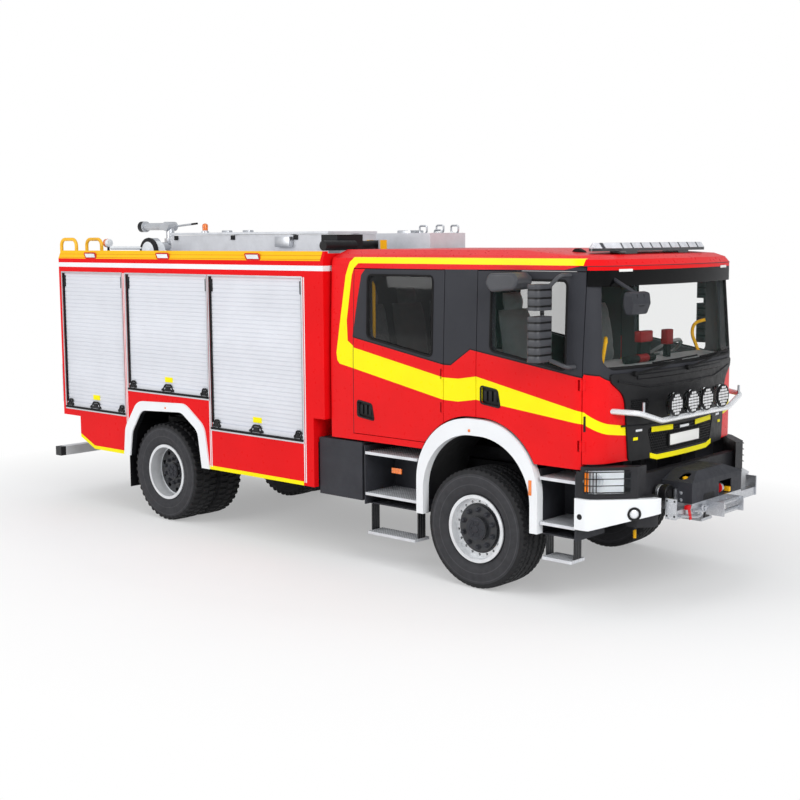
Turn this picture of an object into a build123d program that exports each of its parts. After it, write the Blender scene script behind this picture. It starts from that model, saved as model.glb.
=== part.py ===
# Rescue fire truck, full size, in millimetres.
# Stations along X are measured forwards from the front axle; the truck is modelled on its left
# side and mirrored, and every node is moved to the middle of the truck when it is written.
import os

from build123d import *

os.makedirs("parts", exist_ok=True)

# Fits and clearances
FIT = 0.3
RUN_FIT = 0.05
SHUT_GAP = 7
MOVE_GAP = 10

# Whole vehicle
WHEELBASE = 4350
FRONT_OVERHANG = 1850
REAR_OVERHANG = 2150
BODY_HALF = 1250
FRONT_AXLE_X = (WHEELBASE + REAR_OVERHANG - FRONT_OVERHANG) / 2
REAR_AXLE = -WHEELBASE
TAIL = REAR_AXLE - REAR_OVERHANG

# Wheels
FRONT_TYRE_R = 535
FRONT_TYRE_W = 385
FRONT_RIM_W = 300
FRONT_WHEEL_Y = BODY_HALF - 222
REAR_TYRE_R = 538
REAR_TYRE_W = 312
REAR_RIM_W = 230
DUAL_SPACING = 352
REAR_WHEEL_Y = BODY_HALF - 362
RIM_SEAT_R = 286
RIM_FLANGE_R = 303
RIM_T = 14
RIM_FLARE = 7
DISC_T = 18
HUB_R = 150
HUB_COVER_R = 205
HUB_CAP_R = 110
SPINDLE_R = 60

# Chassis
RAIL_Y = REAR_WHEEL_Y - 503
RAIL_W = 80
RAIL_T = 9
RAIL_TOP = 985
RAIL_H = 270
RAIL_FRONT = 1250
RAIL_REAR = -6300
RAIL_BOTTOM = RAIL_TOP - RAIL_H
KINGPIN_Y = FRONT_WHEEL_Y - 123
KINGPIN_R = 26
KNUCKLE_R = 62
KNUCKLE_H = 88

# Cab
CAB_HALF = BODY_HALF - 55
CAB_FRONT = 1345
CAB_REAR = -1770
CAB_BOW = 150
CAB_CORNER = 240
CAB_WALL = 70
CAB_BOTTOM = 1185
BELT_Z = 2000
ROOF_JOINT = 2840
TUMBLEHOME = 26
RAKE = 60
FLOOR_TOP = 1460
FLOOR_T = 60
GLASS_INSET = 14
GLASS_T = 8
DOOR_TOP = 2795
FRONT_DOOR = (3, 1085)
REAR_DOOR = (-1473, -373)
REAR_DOOR_BOTTOM = 1250
HINGE_BACK = 8
HINGE_DEEP = 5
HINGE_H = 90
HINGE_R = 11
HINGE_PIN_R = 5

# Front wheel arch
ARCH_HALF = 595
ARCH_TOP = 1365
ARCH_TRIM_W = 80
ARCH_TRIM_TOP = 1510
ARCH_FOOT = 590
LINER_HALF = 625
LINER_TOP = 1385
LINER_T = 12
LINER_BACK_Y = BODY_HALF - 680
ARCH_GAP = 18
TRIM_Y = (BODY_HALF - 115, BODY_HALF - 34)

# Superstructure
BODY_WALL = 60
BODY_FRONT = -1810
BODY_FRONT_LOW = -1965
BODY_REAR = -6200
BODY_BOTTOM = 670
BODY_STEP_Z = 1350
REAR_SILL_Z = 1030
SIDE_TOP = 2740
DECK_Z = SIDE_TOP + 50
RAIL_LEAN_Z = DECK_Z + 78
RAIL_LEAN_Y = BODY_HALF - 36
PARAPET_TOP = DECK_Z + 167
PARAPET_T = 34
BODY_FLOOR = (1050, 1110)
SHUTTER_TOP = SIDE_TOP - 40
SHUTTER_T = 26
SHUTTER_SET = 22
SLAT_H = 44
SLAT_DEEP = 5
WHEELHOUSE_HALF = 705
WHEELHOUSE_Z = 1300
LOCKER_Y = BODY_HALF - 630
FLOOR_PLATE = 30

# Left edge, right edge and foot of each side shutter
SHUTTERS = (
    (-6135, -4990, 1118),
    (-4910, -3530, 1415),
    (-3490, -2110, 1102),
)
REAR_SHUTTER_Y = (-BODY_HALF + 560, BODY_HALF - 160)
REAR_SHUTTER_Z = (1150, SIDE_TOP - 80)

# Front end
BUMPER_HALF = BODY_HALF - 32
BUMPER_FRONT = 1590
BUMPER_REAR = 1050
BUMPER_T = 60
BUMPER_Z = (690, 950)
APRON_Z = (953, 1215)
CAB_FRONT_BOTTOM = 1232
DOOR_RELIEF_Z = 1172
WINCH_HALF = 432
WINCH_Z = (862, 1036)
WINCH_TOP = 1108
NOSE_X = 1455
RECESS_X = (1325, 1395)
RECESS_Z = (700, 1120)

# Roof items
BOX_X = (-4850, -2330)
BOX_Y = (-BODY_HALF + 600, 50)
BOX_H = 330
BOX_T = 10
LID_T = 24
LID_GAP = 6
LID_OVER = 18
LID_AXIS_OUT = 14
TRAY_X = (-3050, -1900)
TRAY_Y = (BODY_HALF - 830, BODY_HALF - 250)
TRAY_H = 340
MONITOR_X = -5690
RISER_H = 270
RISER_TOP = DECK_Z + RISER_H
MONITOR_Z = RISER_TOP + 175
MAST_X = -2050
MAST_Z = DECK_Z + 220
MAST_Y = -BODY_HALF + 1000


def block(x, y, z):
    """Box given by its low and high ends along X, Y and Z."""
    spans = (x, y, z)
    middle = [(low + high) / 2 for low, high in spans]
    size = [high - low for low, high in spans]
    return Pos(*middle) * Box(*size)


def rod(start, end, radius):
    """Round bar between two points."""
    run = Vector(end) - Vector(start)
    return extrude(Plane(origin=start, z_dir=run) * Circle(radius), run.length)


def tube(points, radius, bend):
    """Round bar bent along a path."""
    path = FilletPolyline(*points, radius=bend)
    return sweep(Plane(origin=path @ 0, z_dir=path % 0) * Circle(radius), path=path)


def outline(points, radius):
    """Closed face with all corners rounded by one radius, or by one radius each."""
    return make_face(FilletPolyline(*points, radius=radius, close=True))


def side_prism(points, y, radius=0):
    """Outline in X and Z, run across the truck."""
    plane = Plane(origin=(0, y[1], 0), x_dir=(1, 0, 0), z_dir=(0, -1, 0))
    return plane * extrude(outline(points, radius), y[1] - y[0])


def front_prism(points, x, radius=0):
    """Outline in Y and Z, run along the truck."""
    plane = Plane(origin=(x[0], 0, 0), x_dir=(0, 1, 0), z_dir=(1, 0, 0))
    return plane * extrude(outline(points, radius), x[1] - x[0])


def fuse(first, *others):
    """One solid from overlapping or touching pieces."""
    for other in others:
        first = first + other
    return first


def twin(part):
    """Right-hand twin of a left-hand piece."""
    return mirror(part, about=Plane.XZ)


def both(*parts):
    """Left-hand pieces with their right-hand twins."""
    return [*parts, *[twin(part) for part in parts]]


def keep(name, *pieces):
    """Write one named node with its origin at the middle of the truck."""
    solids = []
    for piece in pieces:
        solids += (Pos(FRONT_AXLE_X, 0, 0) * piece).solids()
    export_step(Compound(solids), f"parts/{name}.step")


# Wheels: the left-hand wheel stands at its place with its outer face to +Y

def tyre(radius, width, rim_width):
    """Tyre about Y, widest at the middle of its side walls."""
    half = width / 2
    bead = rim_width / 2 - FIT
    seat = RIM_SEAT_R + FIT
    middle = (seat + radius) / 2 + 10
    tread = half * 0.86
    profile = Polyline(
        (seat, bead), (seat, -bead), (middle, -half), (radius, -tread),
        (radius, tread), (middle, half), close=True,
    )
    return revolve(make_face(profile), Axis.Y)


def ring(inner, outer, y):
    """Flat ring about Y."""
    corners = ((inner, y[0]), (outer, y[0]), (outer, y[1]), (inner, y[1]))
    return revolve(make_face(Polyline(*corners, close=True)), Axis.Y)


def vents(count, radius, pitch, y):
    """Ring of hand holes through a wheel disc, about Y."""
    hole = rod((0, y[0] - 2, pitch), (0, y[1] + 2, pitch), radius)
    return [Rot(0, 360 * turn / count, 0) * hole for turn in range(count)]


def rim_barrel(rim_width):
    """Rim with its two flanges, about Y."""
    half = rim_width / 2
    flare = half + RIM_FLARE
    lip = flare + RIM_T
    inner = RIM_SEAT_R - RIM_T
    profile = Polyline(
        (inner, lip), (RIM_FLANGE_R, lip), (RIM_FLANGE_R, flare), (RIM_SEAT_R, half),
        (RIM_SEAT_R, -half), (RIM_FLANGE_R, -flare), (RIM_FLANGE_R, -lip), (inner, -lip), close=True,
    )
    return revolve(make_face(profile), Axis.Y)


bore = SPINDLE_R + RUN_FIT
front_disc = (92, 92 + DISC_T)
front_hub_y = (30, 168)
front_rim = fuse(
    rim_barrel(FRONT_RIM_W),
    ring(HUB_R - 20, RIM_SEAT_R - 4, front_disc),
    ring(bore, HUB_R, (front_hub_y[0], front_disc[1])),
    rod((0, front_disc[1] - 2, 0), (0, front_disc[1] + 22, 0), HUB_COVER_R),
    rod((0, front_disc[1], 0), (0, front_hub_y[1], 0), HUB_CAP_R),
)
for hole in vents(18, 12, (HUB_COVER_R + RIM_SEAT_R - RIM_T) / 2, front_disc):
    front_rim = front_rim - hole
front_place = Pos(0, FRONT_WHEEL_Y, FRONT_TYRE_R)
front_tyre = front_place * tyre(FRONT_TYRE_R, FRONT_TYRE_W, FRONT_RIM_W)
front_rim = front_place * front_rim

rear_disc = (130, 130 + 2 * DISC_T)
rear_hub_y = (-150, rear_disc[1] + 62)
tube_y = (-DUAL_SPACING / 2, DUAL_SPACING / 2)
rear_rim = fuse(
    Pos(0, tube_y[1], 0) * rim_barrel(REAR_RIM_W),
    Pos(0, tube_y[0], 0) * rim_barrel(REAR_RIM_W),
    ring(HUB_R - 20, RIM_SEAT_R, rear_disc),
    ring(RIM_SEAT_R - RIM_T, RIM_SEAT_R, tube_y),
    ring(bore, HUB_R, (rear_hub_y[0], rear_disc[1])),
    rod((0, rear_disc[1] - 2, 0), (0, rear_disc[1] + 34, 0), HUB_R + 15),
    rod((0, rear_disc[1], 0), (0, rear_hub_y[1], 0), HUB_CAP_R - 20),
)
for hole in vents(10, 24, (HUB_R + 15 + RIM_SEAT_R - RIM_T) / 2, rear_disc):
    rear_rim = rear_rim - hole
rear_place = Pos(REAR_AXLE, REAR_WHEEL_Y, REAR_TYRE_R)
rear_tyres = [
    rear_place * Pos(0, shift, 0) * tyre(REAR_TYRE_R, REAR_TYRE_W, REAR_RIM_W)
    for shift in (DUAL_SPACING / 2, -DUAL_SPACING / 2)
]
rear_rim = rear_place * rear_rim

keep("tyre_front_left", front_tyre)
keep("tyre_front_right", twin(front_tyre))
keep("rim_front_left", front_rim)
keep("rim_front_right", twin(front_rim))
keep("tyres_rear_left", *rear_tyres)
keep("tyres_rear_right", *[twin(each) for each in rear_tyres])
keep("rim_rear_left", rear_rim)
keep("rim_rear_right", twin(rear_rim))

# Knuckles: a fork round the axle's boss, with the kingpin and the wheel's spindle
fork_arm = KNUCKLE_H + 1
fork_t = 30
fork_plate_y = KINGPIN_Y + KNUCKLE_R + 6
arm_low = FRONT_TYRE_R - fork_arm - fork_t
arm_high = FRONT_TYRE_R + fork_arm
knuckle = fuse(
    Pos(0, KINGPIN_Y, FRONT_TYRE_R) * Cylinder(KINGPIN_R, 2 * (fork_arm + fork_t)),
    Pos(0, KINGPIN_Y, arm_low + fork_t / 2) * Cylinder(KNUCKLE_R, fork_t),
    Pos(0, KINGPIN_Y, arm_high + fork_t / 2) * Cylinder(KNUCKLE_R, fork_t),
    block((-KNUCKLE_R, KNUCKLE_R), (KINGPIN_Y, fork_plate_y + 24), (arm_low, arm_low + fork_t)),
    block((-KNUCKLE_R, KNUCKLE_R), (KINGPIN_Y, fork_plate_y + 24), (arm_high, arm_high + fork_t)),
    block((-KNUCKLE_R, KNUCKLE_R), (fork_plate_y, fork_plate_y + 24), (arm_low, arm_high + fork_t)),
    rod((0, fork_plate_y, FRONT_TYRE_R), (0, FRONT_WHEEL_Y + front_disc[1] - 10, FRONT_TYRE_R), SPINDLE_R),
)
keep("knuckle_left", knuckle)
keep("knuckle_right", twin(knuckle))


def leaf_springs(axle, axle_z, half_length):
    """Left-hand leaf spring with its hangers, seated on the axle and bolted to the rail."""
    eye_z = RAIL_BOTTOM - 30
    pad_z = axle_z + 75
    y = (RAIL_Y + 15, RAIL_Y + 95)
    ends = (axle - half_length, axle + half_length)
    seat = (axle - 120, axle + 120)
    leaf = side_prism(
        ((ends[0], eye_z - 30), (seat[0], pad_z), (seat[1], pad_z), (ends[1], eye_z - 30),
         (ends[1], eye_z + 20), (seat[1], pad_z + 70), (seat[0], pad_z + 70), (ends[0], eye_z + 20)),
        y,
    )
    hangers = [
        block((end - 45, end + 45), (RAIL_Y, y[1]), (eye_z - 45, RAIL_BOTTOM + 160))
        for end in ends
    ]
    pad = block((axle - 110, axle + 110), y, (axle_z, pad_z + 20))
    return fuse(leaf, *hangers, pad)


# Axles with their springs
front_boss = Pos(0, KINGPIN_Y, FRONT_TYRE_R) * (
    Cylinder(KNUCKLE_R, 2 * KNUCKLE_H) - Cylinder(KINGPIN_R + RUN_FIT, 2 * KNUCKLE_H + 2)
)
beam_end = KINGPIN_Y - KNUCKLE_R + 8
front_beam = rod((0, -beam_end, FRONT_TYRE_R), (0, beam_end, FRONT_TYRE_R), 62)
front_spring = leaf_springs(0, FRONT_TYRE_R, 800)
keep("front_axle", fuse(
    front_beam,
    Pos(0, 0, FRONT_TYRE_R) * Rot(0, 90, 0) * Cylinder(175, 190),
    *both(front_boss),
    *both(front_spring),
))
rear_spring = leaf_springs(REAR_AXLE, REAR_TYRE_R, 780)
axle_end = REAR_WHEEL_Y + rear_disc[1] - 10
tube_end = REAR_WHEEL_Y - 160
keep("rear_axle", fuse(
    rod((REAR_AXLE, -axle_end, REAR_TYRE_R), (REAR_AXLE, axle_end, REAR_TYRE_R), SPINDLE_R),
    rod((REAR_AXLE, -tube_end, REAR_TYRE_R), (REAR_AXLE, tube_end, REAR_TYRE_R), 85),
    Pos(REAR_AXLE, 0, REAR_TYRE_R) * Rot(0, 90, 0) * Cylinder(170, 220),
    *both(rear_spring),
))

# Frame: two channels, cross members, bearers, cab mounts and the rear tow jaw
rail_x = (RAIL_REAR, RAIL_FRONT)
rail = block(rail_x, (RAIL_Y - RAIL_W, RAIL_Y), (RAIL_BOTTOM, RAIL_TOP))
rail_void_y = (RAIL_Y - RAIL_W - 1, RAIL_Y - RAIL_T)
rail = rail - block((RAIL_REAR - 1, RAIL_FRONT + 1), rail_void_y, (RAIL_BOTTOM + RAIL_T, RAIL_TOP - RAIL_T))
member_z = (RAIL_BOTTOM + 160, RAIL_TOP - 55)
members = [
    block((at - 30, at + 30), (-RAIL_Y + 2, RAIL_Y - 2), member_z)
    for at in (1120, -1620, -2900, -5250, RAIL_REAR + 30)
]
cab_mounts = [
    block((at - 45, at + 45), (RAIL_Y - RAIL_W, RAIL_Y), (RAIL_TOP - 2, FLOOR_TOP - FLOOR_T))
    for at in (1120, -1620)
]
front_beam_x = (RAIL_FRONT - 2, RAIL_FRONT + 60)
cross_half = BODY_HALF - 530
front_cross = block(front_beam_x, (-cross_half, cross_half), (RAIL_BOTTOM + 20, RAIL_TOP - 40))
bumper_arm_x = (front_beam_x[1] - 2, RECESS_X[0])
bumper_arm = block(bumper_arm_x, (cross_half - 100, cross_half - 40), (810, 900))
jaw_x = (RAIL_REAR - 95, RAIL_REAR + 2)
jaw = block(jaw_x, (-60, 60), (800, 900)) - block((jaw_x[0] - 1, RAIL_REAR - 20), (-61, 61), (828, 872))
jaw = jaw - Pos(RAIL_REAR - 60, 0, 850) * Cylinder(20, 200)
bearers = [
    block((at - 40, at + 40), (-RAIL_Y, RAIL_Y), (RAIL_TOP - 2, BODY_FLOOR[0]))
    for at in (-2150, -3300, -5350, -6050)
]
keep("chassis_frame", fuse(
    rail, twin(rail), *members, *both(*cab_mounts), front_cross, *both(bumper_arm), jaw, *bearers,
))

# Engine, gearbox, transfer case and shafts as one block
engine_half = 0.75 * RAIL_Y
gear_half = 0.5 * RAIL_Y
keep("powertrain", fuse(
    block((-430, 930), (-engine_half, engine_half), (790, 1340)),
    block((200, 320), (-RAIL_Y + RAIL_T, RAIL_Y - RAIL_T), (850, 930)),
    block((-1350, -425), (-gear_half, gear_half), (760, 1080)),
    rod((-1345, 0, 830), (-1990, 0, 760), 45),
    block((-2260, -1980), (-gear_half, gear_half), (560, 900)),
    block((-2180, -2080), (-RAIL_Y + RAIL_T, RAIL_Y - RAIL_T), (820, 880)),
    rod((-2250, 0, 690), (REAR_AXLE + 118, 0, REAR_TYRE_R + 20), 45),
    rod((-1990, 0, 620), (-103, 0, FRONT_TYRE_R + 15), 38),
))

# Boxes along the frame: tank behind the cab steps, and the two step boxes on each side
TANK_X = (-1940, -1372)
TANK_Y = (BODY_HALF - 710, BODY_HALF - 54)
REAR_STEP_X = (-1346, -LINER_HALF - LINER_T)
FRONT_STEP_X = (LINER_HALF + LINER_T, BUMPER_REAR)
STEP_BACK_Y = BODY_HALF - 490
STEP_OUT_Y = BODY_HALF - 122
STEP_FACE_Y = BODY_HALF - 58
STEP_TOP = 1140
STEP_BOTTOM = 580
STEP_T = 12
TREAD_T = 26
bracket_z = (885, 945)
tank = fuse(
    block(TANK_X, TANK_Y, (610, 1165)),
    block((-1760, -1560), (RAIL_Y, TANK_Y[0] + 2), bracket_z),
)


def step_box(x, edge):
    """Open step box with cheeks, back, floor and a bracket to the frame; edge is its wheel side."""
    outer = [STEP_FACE_Y if abs(at - edge) > 60 else STEP_OUT_Y for at in x]
    cheeks = [
        block((x[0], x[0] + STEP_T), (STEP_BACK_Y, outer[0]), (STEP_BOTTOM, STEP_TOP)),
        block((x[1] - STEP_T, x[1]), (STEP_BACK_Y, outer[1]), (STEP_BOTTOM, STEP_TOP)),
    ]
    back = block(x, (STEP_BACK_Y, STEP_BACK_Y + STEP_T), (STEP_BOTTOM, STEP_TOP))
    floor = block(x, (STEP_BACK_Y, STEP_OUT_Y), (STEP_BOTTOM, STEP_BOTTOM + STEP_T))
    middle = (x[0] + x[1]) / 2
    bracket = block((middle - 60, middle + 60), (RAIL_Y, STEP_BACK_Y + 2), bracket_z)
    return fuse(back, *cheeks, floor, bracket)


rear_steps = step_box(REAR_STEP_X, REAR_STEP_X[1])
front_steps = step_box(FRONT_STEP_X, FRONT_STEP_X[0])
keep("side_boxes", *both(tank, rear_steps, front_steps))

# Treads: wheel-side end, far end, upper tread, lower tread and hanging step of each step box
TREADS = (
    (REAR_STEP_X[0] + STEP_T, -LINER_HALF - 60, 1085, 695, 325),
    (LINER_HALF + 60, FRONT_STEP_X[1] - STEP_T, 1085, 700, 405),
)
treads = []
for low, high, upper, lower, hanging in TREADS:
    for top in (upper, lower):
        treads.append(block((low, high), (STEP_BACK_Y + STEP_T, STEP_FACE_Y), (top - TREAD_T, top)))
    legs = [
        block((at, at + 12), (STEP_FACE_Y - 150, STEP_FACE_Y - 50), (hanging - TREAD_T, STEP_BOTTOM))
        for at in (low + 30, high - 42)
    ]
    board = block((low + 30, high - 30), (STEP_FACE_Y - 202, STEP_FACE_Y), (hanging - TREAD_T, hanging))
    treads.append(fuse(board, *legs))
keep("step_treads", *both(*treads))


def arch_face(half, top, radius, foot=ARCH_FOOT):
    """Upright arch outline about the front axle."""
    points = ((-half, foot), (-half, top), (half, top), (half, foot))
    return points, (0, radius, radius, 0)


# Wheel-arch trims: round at the front, angular at the rear
outer_points, outer_radii = arch_face(ARCH_HALF + ARCH_TRIM_W, ARCH_TRIM_TOP, ARCH_HALF + 20)
inner_points, inner_radii = arch_face(ARCH_HALF, ARCH_TOP, ARCH_HALF - 45, ARCH_FOOT - 10)
front_trim = side_prism(outer_points, TRIM_Y, outer_radii)
front_trim = front_trim - side_prism(inner_points, (0, 2000), inner_radii)
REAR_TRIM_OUTER = (
    (-669, BODY_BOTTOM), (-632, 985), (-400, 1300), (430, 1335), (745, 1120), (817, BODY_BOTTOM),
)
REAR_TRIM_INNER = (
    (-557, BODY_BOTTOM - 10), (-512, 940), (-330, 1200), (370, 1235), (635, 1060), (697, BODY_BOTTOM - 10),
)
OUTER_BENDS = (0, 200, 200, 200, 200, 0)
INNER_BENDS = (0, 150, 150, 150, 150, 0)
trim_t = 16
rear_trim = Pos(REAR_AXLE, 0, 0) * (
    side_prism(REAR_TRIM_OUTER, (BODY_HALF, BODY_HALF + trim_t), OUTER_BENDS)
    - side_prism(REAR_TRIM_INNER, (0, 2000), INNER_BENDS)
)
keep("arch_trims", *both(front_trim, rear_trim))

# Arch liners over the front wheels and flaps behind the rear wheels
liner_outer, radii_out = arch_face(LINER_HALF + LINER_T, LINER_TOP + LINER_T, LINER_HALF - 20, 700)
liner_inner, radii_in = arch_face(LINER_HALF, LINER_TOP, LINER_HALF - 32, 690)
liner = side_prism(liner_outer, (LINER_BACK_Y, TRIM_Y[0]), radii_out)
liner = liner - side_prism(liner_inner, (0, 2000), radii_in)
flap_x = REAR_AXLE - WHEELHOUSE_HALF + FLOOR_PLATE
flap = block((flap_x, flap_x + 8), (LOCKER_Y + 20, BODY_HALF - BODY_WALL - 5), (290, BODY_FLOOR[0] - 50))
keep("arch_liners", *both(liner, flap))


def cab_plan(inset, lean=0.0, reach=0.0):
    """Cab outline seen from above, with a bowed front and rounded front corners."""
    half = CAB_HALF - TUMBLEHOME * lean - inset
    front = CAB_FRONT - RAKE * lean - inset + reach
    rear = CAB_REAR + inset
    bow = ThreePointArc((front - CAB_BOW, -half), (front, 0), (front - CAB_BOW, half))
    back = Polyline((front - CAB_BOW, half), (rear, half), (rear, -half), (front - CAB_BOW, -half))
    face = make_face([bow, *back.edges()])
    return fillet(face.vertices().sort_by(Axis.X)[-2:], CAB_CORNER - inset)


def cab_volume(inset):
    """Cab below the roof as a full body, drawn in by the inset."""
    lower = extrude(Pos(0, 0, CAB_BOTTOM) * cab_plan(inset), BELT_Z - CAB_BOTTOM)
    sections = [Pos(0, 0, BELT_Z) * cab_plan(inset), Pos(0, 0, ROOF_JOINT) * cab_plan(inset, 1)]
    return lower + loft(sections, ruled=True)


DOOR_Y = (CAB_HALF - 260, CAB_HALF + 60)


def door_prism(x, bottom, grow):
    """Left-hand door opening, grown by the shut gap."""
    return block((x[0] - grow, x[1] + grow), DOOR_Y, (bottom - grow, DOOR_TOP + grow))


bow_r = (CAB_HALF**2 + CAB_BOW**2) / (2 * CAB_BOW)
corner_x = CAB_FRONT - bow_r + ((bow_r - CAB_CORNER)**2 - (CAB_HALF - CAB_CORNER)**2)**0.5


def cab_side_y(x):
    """Half width of the cab at a station below the belt."""
    past = max(x - corner_x, 0)
    return CAB_HALF - CAB_CORNER + (CAB_CORNER**2 - past**2)**0.5


def hinge(edge, z):
    """Door hinge at the door's front edge: notch and pin for the door, strap for the pillar."""
    x = edge - HINGE_BACK
    y = round(cab_side_y(x) - HINGE_DEEP)
    at = Pos(x, y, z)
    notch = at * Cylinder(2.4 * HINGE_R, HINGE_H)
    pin = at * Cylinder(HINGE_PIN_R, HINGE_H + 20)
    arm_z = (z - HINGE_H / 2 + 2, z + HINGE_H / 2 - 2)
    arm = block((x, edge + SHUT_GAP + 26), (y - 2 * HINGE_R, y - 2), arm_z)
    strap = at * Cylinder(HINGE_R, HINGE_H - 4) + arm - at * Cylinder(HINGE_PIN_R + RUN_FIT, HINGE_H)
    return notch, pin, strap


cab_ring = cab_volume(0) - cab_volume(CAB_WALL)
glass_ring = cab_volume(GLASS_INSET) - cab_volume(GLASS_INSET + GLASS_T)
cut_half = ARCH_HALF + ARCH_TRIM_W + ARCH_GAP
cut_points, cut_radii = arch_face(cut_half, ARCH_TRIM_TOP + ARCH_GAP, ARCH_HALF + 20 + ARCH_GAP)
arch_cut = side_prism(cut_points, (-2000, 2000), cut_radii)
cab_ring = cab_ring - arch_cut

# Doors with their glass: span, foot, window outline and hinge heights
FRONT_WINDOW = ((150, 2115), (150, 2725), (930, 2725), (930, 1990))
REAR_WINDOW = ((-1300, 2160), (-1300, 2742), (-505, 2742), (-505, 2025))
HANDLE_W = 210
HANDLE_H = 150
HANDLE_DEEP = 26
DOORS = (
    ("front", FRONT_DOOR, CAB_BOTTOM - 1, FRONT_WINDOW, (1380, 1880), 1630),
    ("rear", REAR_DOOR, REAR_DOOR_BOTTOM, REAR_WINDOW, (1580, 1880), 1390),
)
straps = {"front": [], "rear": []}
for name, span, foot, window, heights, handle_z in DOORS:
    opening = side_prism(window, DOOR_Y, 55)
    leaf = (cab_ring & door_prism(span, foot, 0)) - opening
    low = span[0] + 50
    recess = (
        (low, handle_z + 25), (low, handle_z + HANDLE_H + 25),
        (low + HANDLE_W - 30, handle_z + HANDLE_H), (low + HANDLE_W, handle_z),
    )
    leaf = leaf - side_prism(recess, (CAB_HALF - HANDLE_DEEP, CAB_HALF + 20), 24)
    for height in heights:
        notch, pin, strap = hinge(span[1], height)
        leaf = leaf - notch + pin
        straps[name].append(strap)
    pane = glass_ring & opening
    keep(f"door_{name}_left", leaf)
    keep(f"door_{name}_right", twin(leaf))
    keep(f"glass_{name}_left", pane)
    keep(f"glass_{name}_right", twin(pane))
    cab_ring = cab_ring - door_prism(span, foot, SHUT_GAP) - twin(door_prism(span, foot, SHUT_GAP))

# Fixed cab walls, split at the front doors' front edge and inside the rear wall
front_split = FRONT_DOOR[1] + SHUT_GAP
rear_split = CAB_REAR + CAB_WALL
screen_foot = CAB_HALF - 120
screen_head = CAB_HALF - 155
SCREEN = ((-screen_foot, 2010), (-screen_head, 2735), (screen_head, 2735), (screen_foot, 2010))
screen_opening = front_prism(SCREEN, (front_split + 20, 2000), 90)
wide = (-2000, 2000)
tall = (0, 4000)
cab_front = (cab_ring & block((front_split, 2000), wide, (CAB_FRONT_BOTTOM, 4000))) - screen_opening
cab_rear = cab_ring & block((-3000, rear_split), wide, tall)
cab_sides = cab_ring & block((rear_split, front_split), wide, tall)
keep("windscreen", glass_ring & screen_opening)

# Black front panel, let into the front wall
PANEL_PROUD = 14
PANEL_DEEP = 22
PANEL_LEFT = (
    (CAB_HALF - 175, 1965), (CAB_HALF - 195, 1895), (CAB_HALF - 350, 1780), (CAB_HALF - 405, 1225),
)
PANEL = (*[(-y, z) for y, z in reversed(PANEL_LEFT)], *PANEL_LEFT)
panel_prism = front_prism(PANEL, (front_split + 20, 2000), (40, 180, 50, 25, 25, 50, 180, 40))
panel = (cab_volume(-PANEL_PROUD) - cab_volume(PANEL_DEEP)) & panel_prism
GRILLE = ((-490, 1262), (-560, 1480), (560, 1480), (490, 1262))
grille = front_prism(GRILLE, (0, 2000), 30)
panel = panel - (grille & (cab_volume(-PANEL_PROUD - 5) - cab_volume(0)))
cab_front = cab_front - ((cab_volume(-PANEL_PROUD - 5) - cab_volume(PANEL_DEEP)) & panel_prism)
keep("front_panel", panel)
keep("cab_front", fuse(cab_front, *both(*straps["front"])))
keep("cab_rear_wall", cab_rear)
keep("cab_sides", fuse(cab_sides, *both(*straps["rear"])))

# Floor with sills behind the door feet
floor_inset = CAB_WALL + 3 * MOVE_GAP
floor_y = (-CAB_HALF + floor_inset, CAB_HALF - floor_inset)
floor_area = cab_volume(CAB_WALL + FIT) & block((-3000, 2000), floor_y, tall)
cab_floor = floor_area & block((-3000, 2000), wide, (FLOOR_TOP - FLOOR_T, FLOOR_TOP))
sills = [
    block((low, high), (floor_y[1] - 40, floor_y[1]), (foot + 20, FLOOR_TOP - 2))
    for low, high, foot in ((720, 1040, CAB_BOTTOM), (-1460, -720, REAR_DOOR_BOTTOM))
]
keep("cab_floor", fuse(cab_floor, *both(*sills)))

# Roof cap: height, lean of the sides and reach of the front at each level
VISOR_REACH = 50
ROOF_LEVELS = (
    (ROOF_JOINT, 1.0, VISOR_REACH),
    (ROOF_JOINT + 55, 1.6, VISOR_REACH - 8),
    (ROOF_JOINT + 88, 4.4, VISOR_REACH + 85),
    (ROOF_JOINT + 132, 9.5, VISOR_REACH - 275),
)


def roof_volume(inset, levels):
    """Full body through the cab's outline at each level, drawn in by the inset."""
    sections = [Pos(0, 0, z) * cab_plan(inset, lean, reach) for z, lean, reach in levels]
    return loft(sections, ruled=True)


ROOF_CAVITY = (
    (ROOF_JOINT - 1, 1.0, 0),
    (ROOF_JOINT + 50, 1.6, -40),
)
cab_roof = roof_volume(0, ROOF_LEVELS) - roof_volume(CAB_WALL, ROOF_CAVITY)
keep("cab_roof", cab_roof)

# Sun visor under the roof's front lip
VISOR_T = 8
VISOR_Z = (ROOF_JOINT - 160, ROOF_JOINT - FIT)
visor_face = cab_plan(4, 1, VISOR_REACH) - cab_plan(4 + VISOR_T, 1, VISOR_REACH)
visor = extrude(Pos(0, 0, VISOR_Z[0]) * visor_face, VISOR_Z[1] - VISOR_Z[0])
visor = visor & block((1100, 2000), wide, tall)
visor = visor - cab_volume(-FIT)
keep("sun_visor", visor)

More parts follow.
